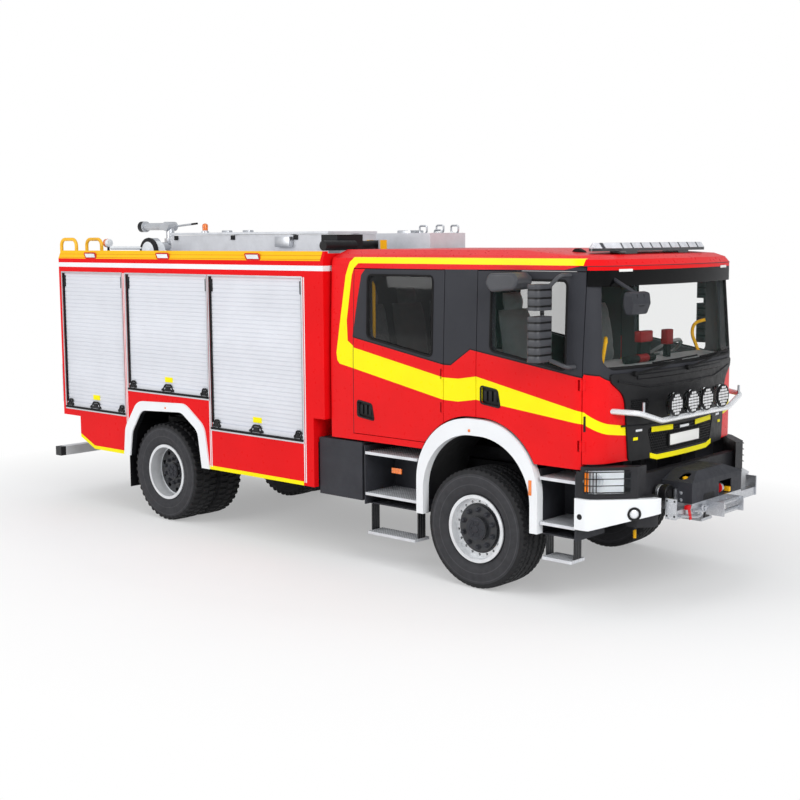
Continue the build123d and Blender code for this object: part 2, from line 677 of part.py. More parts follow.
# Warning light bar on two feet
BAR_Z = ROOF_LEVELS[2][0] + 30
BAR_LEFT = ((1130, CAB_HALF - 495), (960, CAB_HALF - 270), (870, CAB_HALF - 430))
BAR_PLAN = (*BAR_LEFT, *[(x, -y) for x, y in reversed(BAR_LEFT)])
bar_tray = Pos(0, 0, BAR_Z) * extrude(outline(BAR_PLAN, 50), 28)
bar_lens = Pos(0, 0, BAR_Z + 26) * extrude(outline(BAR_PLAN, 50), 44, taper=32)
bar_feet = [block((910, 1070), (y - 90, y + 90), (BAR_Z - 40, BAR_Z + 2)) for y in (-430, 430)]
bar_feet = [foot - roof_volume(0, ROOF_LEVELS) for foot in bar_feet]
bar_body = fuse(bar_tray, bar_lens)
keep("light_bar", fuse(bar_body, *bar_feet))

# Seats: two in front and a row of four behind
SEAT_PITCH = (CAB_HALF - CAB_WALL) / 2
SEAT_W = SEAT_PITCH - 92
SEAT_SIDE = (
    (0, FLOOR_TOP), (420, FLOOR_TOP), (470, FLOOR_TOP + 400), (60, FLOOR_TOP + 430),
    (-60, FLOOR_TOP + 1120), (-150, FLOOR_TOP + 1110), (-40, FLOOR_TOP + 300),
)
seats = []
SEAT_ROWS = (
    (60, (-1.14, 1.14)),
    (-1530, (-1.5, -0.5, 0.5, 1.5)),
)
for at, places in SEAT_ROWS:
    for place in places:
        y = place * SEAT_PITCH
        seat = side_prism(SEAT_SIDE, (y - SEAT_W / 2, y + SEAT_W / 2), (0, 0, 50, 40, 30, 30, 30))
        seats.append(Pos(at, 0, 0) * seat)
keep("seats", *seats)

# Dashboard with the steering column and wheel on the left
DASH = ((880, 1650), (840, 1930), (900, 2020), (1120, 1995), (1120, 1650))
DASH_HALF = CAB_HALF - 135
dash = side_prism(DASH, (-DASH_HALF, DASH_HALF), (0, 40, 40, 0, 0))
dash_feet = [block((900, 1100), (y - 60, y + 60), (FLOOR_TOP, 1660)) for y in (-700, 700)]
wheel_plane = Plane(origin=(730, 640, 2000), x_dir=(0, 1, 0), z_dir=(-0.6, 0, 0.8))
steering = wheel_plane * fuse(
    Cylinder(231, 28) - Cylinder(203, 40),
    Box(420, 40, 16),
    Pos(0, 0, -130) * Cylinder(32, 270),
)
keep("dashboard", fuse(dash, *dash_feet, steering))

# Door mirrors on two arms: depth, width and height spans of each head
MIRROR_X = (735, 860)
MIRROR_Y = (CAB_HALF + 67, CAB_HALF + 285)
HEADS = ((2065, 2440), (2490, 2700))
mirror_base_y = CAB_HALF - TUMBLEHOME
mirror_parts = []
for z in HEADS:
    head = block(MIRROR_X, MIRROR_Y, z)
    mirror_parts.append(fillet(head.edges().filter_by(Axis.Z), 40))
arm_y = CAB_HALF + 145
arm_root = CAB_HALF - 50
mirror_parts.append(tube(((1030, arm_root, 2030), (1000, arm_y - 60, 2030), (800, arm_y, 2110)), 17, 60))
mirror_parts.append(tube(((960, arm_root, 2772), (930, arm_y - 60, 2772), (800, arm_y, 2620)), 17, 60))
mirror_parts.append(rod((800, arm_y, 2420), (800, arm_y, 2510), 17))
mirror_set = fuse(*mirror_parts) - cab_volume(-FIT)
mirror_set = mirror_set.solids().sort_by(SortBy.VOLUME)[-1]
keep("mirrors_left", mirror_set)
KERB_SIDE = ((235, 2695), (275, 2780), (520, 2790), (590, 2735), (540, 2650), (300, 2625))
kerb_mirror = side_prism(KERB_SIDE, (CAB_HALF - 55, CAB_HALF + 190), 45)
kerb_mirror = fillet(kerb_mirror.edges().group_by(Axis.Y)[-1], 24) - cab_volume(-FIT)
keep("mirrors_right", twin(mirror_set), twin(kerb_mirror))

# Front mirror on a stalk from the sun visor, on the right
FRONT_MIRROR_Y = CAB_HALF - 255
mirror_side = ((1415, 2455), (1395, 2535), (1415, 2645), (1470, 2630), (1490, 2545), (1465, 2460))
mirror_y = (FRONT_MIRROR_Y - 150, FRONT_MIRROR_Y + 150)
mirror_face = ((mirror_y[0], 2660), (mirror_y[1], 2660), (mirror_y[1] - 38, 2440), (mirror_y[0] + 38, 2440))
mirror_head = side_prism(mirror_side, mirror_y, 18) & front_prism(mirror_face, (1390, 1495), 50)
mirror_stalk = rod((1440, FRONT_MIRROR_Y, 2620), (1190, FRONT_MIRROR_Y, VISOR_Z[0] + 75), 15)
visor_body = extrude(Pos(0, 0, VISOR_Z[0]) * cab_plan(4 - FIT, 1, VISOR_REACH), VISOR_Z[1] - VISOR_Z[0])
keep("front_mirror", twin(fuse(mirror_head, mirror_stalk) - visor_body))

# Superstructure floor with wheel houses and lockers beside the frame
inner_y = BODY_HALF - BODY_WALL
arch_x = (REAR_AXLE - WHEELHOUSE_HALF, REAR_AXLE + WHEELHOUSE_HALF)
house_y = (BODY_HALF - 780, inner_y)
plate = FLOOR_PLATE
deck = block((BODY_REAR, BODY_FRONT_LOW), (-inner_y, inner_y), BODY_FLOOR)
LOCKERS = ((-5600, arch_x[0] + plate), (arch_x[1] - plate, BODY_FRONT_LOW))
locker_parts = []
for low, high in LOCKERS:
    locker_parts.append(block((low, high), (LOCKER_Y, inner_y), (BODY_BOTTOM, BODY_BOTTOM + plate)))
    locker_parts.append(block((low, high), (LOCKER_Y, LOCKER_Y + plate), (BODY_BOTTOM, BODY_FLOOR[1])))
    for end in (low, high - plate):
        locker_parts.append(block((end, end + plate), (LOCKER_Y, inner_y), (BODY_BOTTOM, BODY_FLOOR[1])))
house = block(arch_x, house_y, (BODY_FLOOR[0], WHEELHOUSE_Z + plate))
void_x = (arch_x[0] + plate, arch_x[1] - plate)
house_void = block(void_x, (house_y[0] + plate, inner_y + 1), (0, WHEELHOUSE_Z))
body_floor = fuse(deck, *both(house), *both(*locker_parts))
body_floor = body_floor - house_void - twin(house_void)
keep("body_floor", body_floor)

# Cross walls: front wall, two bulkheads and the rear wall with its opening
wall_z = (BODY_FLOOR[1], SIDE_TOP)
cross = (-inner_y, inner_y)
nose_z = (BODY_STEP_Z, BODY_STEP_Z + BODY_WALL)
front_wall = fuse(
    block((BODY_FRONT - BODY_WALL, BODY_FRONT), cross, (nose_z[0], SIDE_TOP)),
    block((BODY_FRONT_LOW - BODY_WALL, BODY_FRONT), cross, nose_z),
    block((BODY_FRONT_LOW - BODY_WALL, BODY_FRONT_LOW), cross, (wall_z[0], nose_z[1])),
)
rear_wall = block((BODY_REAR, BODY_REAR + BODY_WALL), cross, wall_z)
rear_wall = rear_wall - block((BODY_REAR - 1, BODY_REAR + BODY_WALL + 1), REAR_SHUTTER_Y, REAR_SHUTTER_Z)
bulkhead_z = (WHEELHOUSE_Z + plate, SIDE_TOP)
bulkheads = [
    block((at - 20, at + 20), cross, bulkhead_z)
    for at in ((SHUTTERS[0][1] + SHUTTERS[1][0]) / 2, (SHUTTERS[1][1] + SHUTTERS[2][0]) / 2 - 40)
]
keep("body_walls", front_wall, rear_wall, *bulkheads)

# Sides with three shutter openings and the wheel arch
SIDE = (
    (BODY_REAR, REAR_SILL_Z), (-5870, REAR_SILL_Z), (-5870, 790), (-5600, BODY_BOTTOM),
    (BODY_FRONT_LOW, BODY_BOTTOM), (BODY_FRONT_LOW, BODY_STEP_Z), (BODY_FRONT, BODY_STEP_Z),
    (BODY_FRONT, SIDE_TOP), (BODY_REAR, SIDE_TOP),
)
body_side = side_prism(SIDE, (inner_y, BODY_HALF))
body_side = body_side - Pos(REAR_AXLE, 0, 0) * side_prism(REAR_TRIM_INNER, (0, 2000), INNER_BENDS)
curtains = []
curtain_y = (BODY_HALF - SHUTTER_SET - SHUTTER_T, BODY_HALF - SHUTTER_SET)


def slats(deep, face, z):
    """Edge of a roller curtain: depth and height points, one shallow groove under each slat."""
    count = round((z[1] - z[0]) / SLAT_H)
    pitch = (z[1] - z[0]) / count
    points = [(deep, z[0])]
    for slat in range(count):
        low = z[0] + slat * pitch
        points += [(face - SLAT_DEEP, low), (face, low + 0.3 * pitch), (face, low + pitch)]
    return (*points, (deep, z[1]))


for low, high, foot in SHUTTERS:
    body_side = body_side - block((low, high), (0, 2000), (foot, SHUTTER_TOP))
    span = (low + FIT, high - FIT)
    curtain = front_prism(slats(*curtain_y, (foot + 68, SHUTTER_TOP - FIT)), span)
    sill = block(span, (curtain_y[0], curtain_y[1] + 14), (foot + FIT, foot + 70))
    curtains.append(curtain + sill)
keep("body_sides", *both(body_side))
rear_face = -BODY_REAR - SHUTTER_SET
rear_edge = slats(rear_face - SHUTTER_T, rear_face, (REAR_SHUTTER_Z[0] + FIT, REAR_SHUTTER_Z[1] - FIT))
rear_curtain = side_prism([(-x, z) for x, z in rear_edge], (REAR_SHUTTER_Y[0] + FIT, REAR_SHUTTER_Y[1] - FIT))
keep("shutters", *both(*curtains), rear_curtain)

# Roof deck with its leaning side rails, end rails and the light mast's ears
roof_rail = front_prism(
    ((BODY_HALF, SIDE_TOP), (BODY_HALF, RAIL_LEAN_Z), (RAIL_LEAN_Y, PARAPET_TOP),
     (RAIL_LEAN_Y - PARAPET_T, PARAPET_TOP), (RAIL_LEAN_Y - PARAPET_T, SIDE_TOP)),
    (BODY_REAR, BODY_FRONT),
)
deck_plate = block((BODY_REAR, BODY_FRONT), (-inner_y, inner_y), (SIDE_TOP, DECK_Z))
end_rails = [
    block((at, at + PARAPET_T), (-inner_y, inner_y), (SIDE_TOP, PARAPET_TOP - 20))
    for at in (BODY_REAR, BODY_FRONT - PARAPET_T)
]
MAST_EAR_Y = 50
ear_y = (MAST_Y - MAST_EAR_Y, MAST_Y + MAST_EAR_Y)
ears = [
    block((MAST_X + side - 12, MAST_X + side + 12), ear_y, (DECK_Z - 2, MAST_Z + 50))
    for side in (-92, 92)
]
saddle_y = (-BODY_HALF + 730, -BODY_HALF + 780)
saddle = block((MAST_X - 60, MAST_X + 60), saddle_y, (DECK_Z - 2, MAST_Z - 46 - FIT))
keep("body_roof", fuse(deck_plate, *both(roof_rail), *end_rails, *ears, saddle))

# Light mast lying across the roof: pin, tube, head and flood lamp
mast_tip = -BODY_HALF + 80
mast = fuse(
    rod((MAST_X - 80 + FIT, MAST_Y, MAST_Z), (MAST_X + 80 - FIT, MAST_Y, MAST_Z), 48),
    rod((MAST_X, MAST_Y, MAST_Z), (MAST_X, mast_tip + 570, MAST_Z), 44),
    block((MAST_X - 110, MAST_X + 110), (mast_tip + 250, mast_tip + 610), (MAST_Z - 40, MAST_Z + 105)),
    block((MAST_X + 60, MAST_X + 160), (mast_tip + 310, mast_tip + 390), (MAST_Z - 30, MAST_Z + 30)),
    rod((MAST_X + 165, mast_tip, MAST_Z), (MAST_X + 165, mast_tip + 430, MAST_Z), 48),
)
keep("light_mast", mast)

# Roof box with its lid, and the open tool tray on the left
box_z = (DECK_Z, DECK_Z + BOX_H)


def open_box(x, y, z):
    """Sheet-metal box without a top."""
    room = ((x[0] + BOX_T, x[1] - BOX_T), (y[0] + BOX_T, y[1] - BOX_T), (z[0] + BOX_T, z[1] + 1))
    return block(x, y, z) - block(*room)


roof_box = open_box(BOX_X, BOX_Y, box_z)
tray = open_box(TRAY_X, TRAY_Y, (DECK_Z, DECK_Z + TRAY_H))
lid_z = (box_z[1] + LID_GAP, box_z[1] + LID_GAP + LID_T)
lid_axis = (BOX_Y[1] + LID_AXIS_OUT, (lid_z[0] + lid_z[1]) / 2)
lid = block((BOX_X[0] - LID_OVER, BOX_X[1] + LID_OVER), (BOX_Y[0] - LID_OVER, BOX_Y[1]), lid_z)
lid_rolls = []
lid_straps = []
for at in (BOX_X[0] + 300, (BOX_X[0] + BOX_X[1]) / 2, BOX_X[1] - 300):
    lid_rolls.append(rod((at - 75, *lid_axis), (at + 75, *lid_axis), HINGE_PIN_R))
    for side in (-60, 60):
        lid_rolls.append(rod((at + side - 12, *lid_axis), (at + side + 12, *lid_axis), HINGE_R))
        lid_rolls.append(block((at + side - 12, at + side + 12), (BOX_Y[1] - 2, lid_axis[0]), lid_z))
    leaf_x = (at - 40, at + 40)
    strap = rod((leaf_x[0], *lid_axis), (leaf_x[1], *lid_axis), HINGE_R - 1)
    strap = strap + block(leaf_x, (BOX_Y[1] - 2, lid_axis[0] + 6), (box_z[1] - 60, box_z[1] - 1))
    strap = strap + block(leaf_x, (lid_axis[0] - 2, lid_axis[0] + 6), (box_z[1] - 60, lid_axis[1]))
    lid_straps.append(strap - rod((at - 50, *lid_axis), (at + 50, *lid_axis), HINGE_PIN_R + RUN_FIT))
keep("roof_boxes", fuse(roof_box, *lid_straps), tray)
keep("roof_box_lid", fuse(lid, *lid_rolls))

# Water monitor: fixed riser, turning body and tilting barrel
TRUNNION_R = 55
TRUNNION_HALF = 60
FEED_Y = -BODY_HALF + 1040
feed_z = RISER_TOP - 65
keep("monitor_base", fuse(
    Pos(MONITOR_X, 0, DECK_Z + 12) * Cylinder(120, 24),
    rod((MONITOR_X, 0, DECK_Z), (MONITOR_X, 0, RISER_TOP), 52),
    Pos(MONITOR_X, 0, RISER_TOP - 15) * Cylinder(72, 30),
    rod((MONITOR_X, 0, feed_z), (MONITOR_X, FEED_Y, feed_z), 48),
    rod((MONITOR_X, FEED_Y, feed_z), (MONITOR_X, FEED_Y - 110, feed_z), 100),
    rod((MONITOR_X, FEED_Y - 100, feed_z), (MONITOR_X, FEED_Y - 140, feed_z), 72),
))
keep("monitor_swivel", fuse(
    Pos(MONITOR_X, 0, RISER_TOP + FIT + 15) * Cylinder(72, 30),
    rod((MONITOR_X, 0, RISER_TOP + FIT), (MONITOR_X, 0, MONITOR_Z), 50),
    rod((MONITOR_X, -TRUNNION_HALF, MONITOR_Z), (MONITOR_X, TRUNNION_HALF, MONITOR_Z), TRUNNION_R),
))
cheek_y = (TRUNNION_HALF + FIT, TRUNNION_HALF + FIT + 16)
cheek = fuse(
    rod((MONITOR_X, cheek_y[0], MONITOR_Z), (MONITOR_X, cheek_y[1], MONITOR_Z), TRUNNION_R),
    block((MONITOR_X - 110, MONITOR_X), cheek_y, (MONITOR_Z - 40, MONITOR_Z + 40)),
)
barrel = fuse(
    *both(cheek),
    block((MONITOR_X - 112, MONITOR_X - 80), (-cheek_y[1], cheek_y[1]), (MONITOR_Z - 40, MONITOR_Z + 40)),
    rod((MONITOR_X - 100, 0, MONITOR_Z), (MONITOR_X - 500, 0, MONITOR_Z), 44),
    rod((MONITOR_X - 470, 0, MONITOR_Z), (MONITOR_X - 560, 0, MONITOR_Z), 66),
    rod((MONITOR_X, cheek_y[1], MONITOR_Z), (MONITOR_X + 420, cheek_y[1], MONITOR_Z + 30), 12),
)
keep("monitor_barrel", barrel)

# Rear ladder with hoops over the roof edge
LADDER_X = BODY_REAR - 75
LADDER_Y = (-BODY_HALF + 100, -BODY_HALF + 450)
LADDER_R = 20
HOOP_X = BODY_REAR + 225
HOOP_Z = PARAPET_TOP + 128
ladder_parts = []
for y in LADDER_Y:
    bends = ((LADDER_X, y, 1060), (LADDER_X, y, HOOP_Z), (HOOP_X, y, HOOP_Z), (HOOP_X, y, DECK_Z))
    ladder_parts.append(tube(bends, LADDER_R, 75))
    for z in (1300, 2500):
        ladder_parts.append(rod((LADDER_X, y, z), (BODY_REAR, y, z), 14))
for rung in range(6):
    z = 1180 + 290 * rung
    ladder_parts.append(rod((LADDER_X, LADDER_Y[0], z), (LADDER_X, LADDER_Y[1], z), 14))
keep("rear_ladder", fuse(*ladder_parts))

# Rear underrun bar on two hangers under the rails
UNDERRUN_Z = (495, 602)
bar_x = (TAIL, TAIL + 110)
bar_half = BODY_HALF - 60
hanger = block((bar_x[0] + 20, bar_x[1] + 190), (RAIL_Y - RAIL_W, RAIL_Y), (UNDERRUN_Z[0], RAIL_BOTTOM))
keep("underrun_bar", fuse(block(bar_x, (-bar_half, bar_half), UNDERRUN_Z), *both(hanger)))


def bumper_plan(inset):
    """Bumper outline seen from above, with cut and rounded front corners."""
    half = BUMPER_HALF - inset
    front = BUMPER_FRONT - inset
    slant = 1190 - inset * 0.4
    inner = BUMPER_HALF - 418 - inset * 0.4
    left = ((front, inner), (slant, half), (BUMPER_REAR, half))
    right = [(x, -y) for x, y in reversed(left)]
    return outline((*right, *left), (0, 150, 150, 150, 150, 0))


def bumper_band(inset, thick, z):
    """Band of the bumper's outline, open at the rear."""
    band = extrude(bumper_plan(inset), z[1] - z[0])
    hollow = extrude(bumper_plan(inset + thick), z[1] - z[0])
    hollow = hollow + Pos(-200, 0, 0) * hollow
    return Pos(0, 0, z[0]) * (band - hollow)


# White bumper corners with a rising lower edge
CORNER_Y = BUMPER_HALF - 463
corner = bumper_band(0, BUMPER_T, BUMPER_Z) & block((0, 2000), (CORNER_Y, 2000), tall)
rise = side_prism(((1180, 600), (1180, BUMPER_Z[0]), (1620, 830), (1620, 600)), (0, 2000))
keep("bumper_corners", *both(corner - rise))

# Black apron over and between the corners, cut for the headlamps and the winch
APRON_INSET = 24
LAMP_Z = (1000, 1188)
LAMP_X = 1140
LAMP_Y = BUMPER_HALF - 268
headlamp = bumper_band(APRON_INSET - 10, 50, LAMP_Z) & block((LAMP_X, 2000), (LAMP_Y, 2000), LAMP_Z)
hole_z = (LAMP_Z[0] - FIT, LAMP_Z[1] + FIT)
lamp_hole = bumper_band(APRON_INSET - 20, 60 + FIT, hole_z)
lamp_hole = lamp_hole & block((LAMP_X - FIT, 2000), (LAMP_Y - FIT, 2000), hole_z)
centre = bumper_band(BUMPER_T, BUMPER_T, (700, APRON_Z[0] + 10))
centre = centre & block((0, 2000), (-CORNER_Y - 120, CORNER_Y + 120), tall)
centre = centre - block((0, 2000), (-CORNER_Y + 55, CORNER_Y - 55), tall)
brow = bumper_band(APRON_INSET, 90, APRON_Z) & block((0, NOSE_X), wide, tall)
recess_half = BUMPER_HALF - 348
recess = block(RECESS_X, (-recess_half, recess_half), RECESS_Z)
left_half = block((0, 2000), (0, 2000), tall)
apron = fuse(recess, *both(brow & left_half), *both(centre & left_half))
apron = apron - block((0, front_split), wide, (DOOR_RELIEF_Z, 4000))
apron = apron - block((1200, 2000), (-WINCH_HALF - 45, WINCH_HALF + 45), (650, WINCH_Z[0] + 10))
apron = apron - lamp_hole - twin(lamp_hole)
keep("front_apron", apron)

# Lamp bar across the front with four spot lamps on it
SPOT_R = 98
SPOT_Z = 1683
SPOT_X = (1462, 1512)
SPOT_Y = (122, 400)
bar_r = 24
bar_z = SPOT_Z - SPOT_R - bar_r - FIT
bar_x_mid = SPOT_X[1] - 41
bar_left = (
    (bar_x_mid, CAB_HALF - 620, bar_z), (1440, CAB_HALF - 325, 1650), (1225, CAB_HALF - 218, 1660),
)
bar_right = [(x, -y, z) for x, y, z in reversed(bar_left)]
lamp_bar = tube((*bar_right, *bar_left), bar_r, 110) - cab_volume(-FIT)
lamp_bar = lamp_bar.solids().sort_by(SortBy.VOLUME)[-1]
keep("lamp_bar", lamp_bar)
spots = [rod((SPOT_X[0], y, SPOT_Z), (SPOT_X[1], y, SPOT_Z), SPOT_R) for y in SPOT_Y]
RAIL_LAMPS = (-5570, -4250, -2810)
lamp_lean = ((BODY_HALF, RAIL_LEAN_Z), (RAIL_LEAN_Y, PARAPET_TOP), (BODY_HALF, PARAPET_TOP))
lamp_band = block((-75, 75), wide, (RAIL_LEAN_Z + 8, PARAPET_TOP - 32))
rail_lamp = front_prism(lamp_lean, (-75, 75)) & lamp_band
rail_lamps = [Pos(at, 0, 0) * rail_lamp for at in RAIL_LAMPS]
tail_x = (BODY_REAR - 30, BODY_REAR)
tail_z = (1180, 1620)
left_tail = block(tail_x, (BODY_HALF - 140, BODY_HALF - 35), tail_z)
right_tail = block(tail_x, (-BODY_HALF + 5, -BODY_HALF + 75), tail_z)
keep("lamps", *both(headlamp, *spots, *rail_lamps), left_tail, right_tail)

# Winch frame: tray on arms, front beam, end plates, drum and roller fairlead
tray_t = 20
tray_x = (front_beam_x[1], 1690)
tray_z = (WINCH_Z[0] - tray_t, WINCH_Z[0])
beam_z = (772, tray_z[0] + 2)
arms = [block((tray_x[0], 1640), (y - 30, y + 30), beam_z) for y in (-340, 340)]
frame_half = BODY_HALF - 550
front_bar = block((1620, 1690), (-frame_half, frame_half), beam_z)
end_plates = [block((1600, 1700), (y - 8, y + 8), (772, 945)) for y in (-frame_half, frame_half)]
drum_posts = [block((1400, 1560), (y - 10, y + 10), (tray_z[0], 1010)) for y in (-280, 280)]
drum = rod((1480, -285, 950), (1480, 285, 950), 62)
lead_plates = [block((1685, FRONT_OVERHANG), (y - 8, y + 8), (735, WINCH_Z[0] - 4)) for y in (-170, 170)]
rollers = [rod((1800, -172, z), (1800, 172, z), 20) for z in (758, 836)]
winch_tray = block(tray_x, (-WINCH_HALF, WINCH_HALF), tray_z)
keep("winch_frame", fuse(
    winch_tray, *arms, front_bar, *end_plates, *drum_posts, drum, *lead_plates, *rollers,
))


HOOD_X = (RECESS_X[1] + 5, 1690)
HOOD_LEAN = 72
HOOD_SIDE_LEAN = 200


def winch_hood(inset):
    """Winch cover as a full body: upright foot and a top that leans in on three sides."""
    back = HOOD_X[0] - inset
    front = HOOD_X[1] - inset
    half = WINCH_HALF - inset
    foot, edge = WINCH_Z
    top = WINCH_TOP - inset
    side = ((back, foot), (front, foot), (front, edge), (front - HOOD_LEAN, top), (back, top))
    left = ((half, foot), (half, edge), (half - HOOD_SIDE_LEAN, top))
    nose = (*left, *[(-y, z) for y, z in reversed(left)])
    return side_prism(side, (-half, half)) & front_prism(nose, (back, front))


winch_t = 10
hood = winch_hood(0) - winch_hood(winch_t)
hood = hood - block((HOOD_X[1] - 90, HOOD_X[1] + 10), (30, 250), (WINCH_Z[0] - 1, 990))
open_y = (-WINCH_HALF + 20, WINCH_HALF - 20)
hood = hood - block((HOOD_X[0] - 30, HOOD_X[0] + 15), open_y, (WINCH_Z[0] - 1, WINCH_Z[1] - 16))
hole_at = (HOOD_X[0] + 165, -WINCH_HALF + HOOD_SIDE_LEAN / 2, (WINCH_Z[1] + WINCH_TOP) / 2)
hood_rise = WINCH_TOP - WINCH_Z[1]
hood_slope = (0, HOOD_SIDE_LEAN, hood_rise)
hole_plane = Plane(origin=hole_at, x_dir=hood_slope, z_dir=(0, -hood_rise, HOOD_SIDE_LEAN))
hood = hood - extrude(hole_plane * SlotOverall(130, 78), 90, both=True)
keep("winch_cover", hood)
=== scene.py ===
import math

import bmesh
import bpy
from mathutils import Matrix, Vector


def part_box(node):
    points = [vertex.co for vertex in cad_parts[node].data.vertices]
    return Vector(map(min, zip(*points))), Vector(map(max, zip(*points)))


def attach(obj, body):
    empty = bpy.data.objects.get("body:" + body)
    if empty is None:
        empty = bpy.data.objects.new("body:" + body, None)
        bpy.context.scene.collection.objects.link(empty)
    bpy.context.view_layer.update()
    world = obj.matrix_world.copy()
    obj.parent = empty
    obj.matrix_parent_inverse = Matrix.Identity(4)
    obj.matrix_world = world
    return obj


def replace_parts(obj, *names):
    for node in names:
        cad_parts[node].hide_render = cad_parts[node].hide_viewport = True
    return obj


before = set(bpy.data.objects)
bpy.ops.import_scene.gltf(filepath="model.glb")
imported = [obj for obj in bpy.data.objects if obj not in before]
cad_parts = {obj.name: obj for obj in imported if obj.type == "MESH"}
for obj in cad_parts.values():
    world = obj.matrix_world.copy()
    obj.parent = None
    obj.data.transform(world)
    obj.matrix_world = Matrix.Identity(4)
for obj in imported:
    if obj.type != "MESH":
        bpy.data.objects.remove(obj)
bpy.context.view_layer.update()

# Stations along the truck are measured forwards from the front axle, as in the CAD source
AXLE = sum(corner[0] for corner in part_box("tyre_front_left")) / 2
CAB_HALF = 1.195
BELT_Z = 2.0
CAB_RISE = 0.84
TUMBLEHOME = 0.026
RAKE = 0.060
CAB_FRONT = 1.345
CAB_BOW = 0.150
BODY_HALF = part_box("body_sides")[1][1]
DECK_Z = 2.79
RIGHT = -1
LEFT = 1
SIDES = (LEFT, RIGHT)
FORWARD = Vector((1, 0, 0))
ACROSS = Vector((0, 1, 0))
UP = Vector((0, 0, 1))


def srgb(red, green, blue):
    """Colour written as in a picture, turned into the shader's linear values."""
    def linear(value):
        part = value / 255
        return part / 12.92 if part <= 0.04045 else ((part + 0.055) / 1.055) ** 2.4

    return (linear(red), linear(green), linear(blue), 1.0)


RED = srgb(228, 14, 20)
YELLOW = srgb(250, 236, 8)
AMBER_YELLOW = srgb(250, 188, 28)
WHITE = srgb(236, 238, 240)
CHARCOAL = srgb(52, 53, 58)
BLACK = srgb(26, 27, 29)


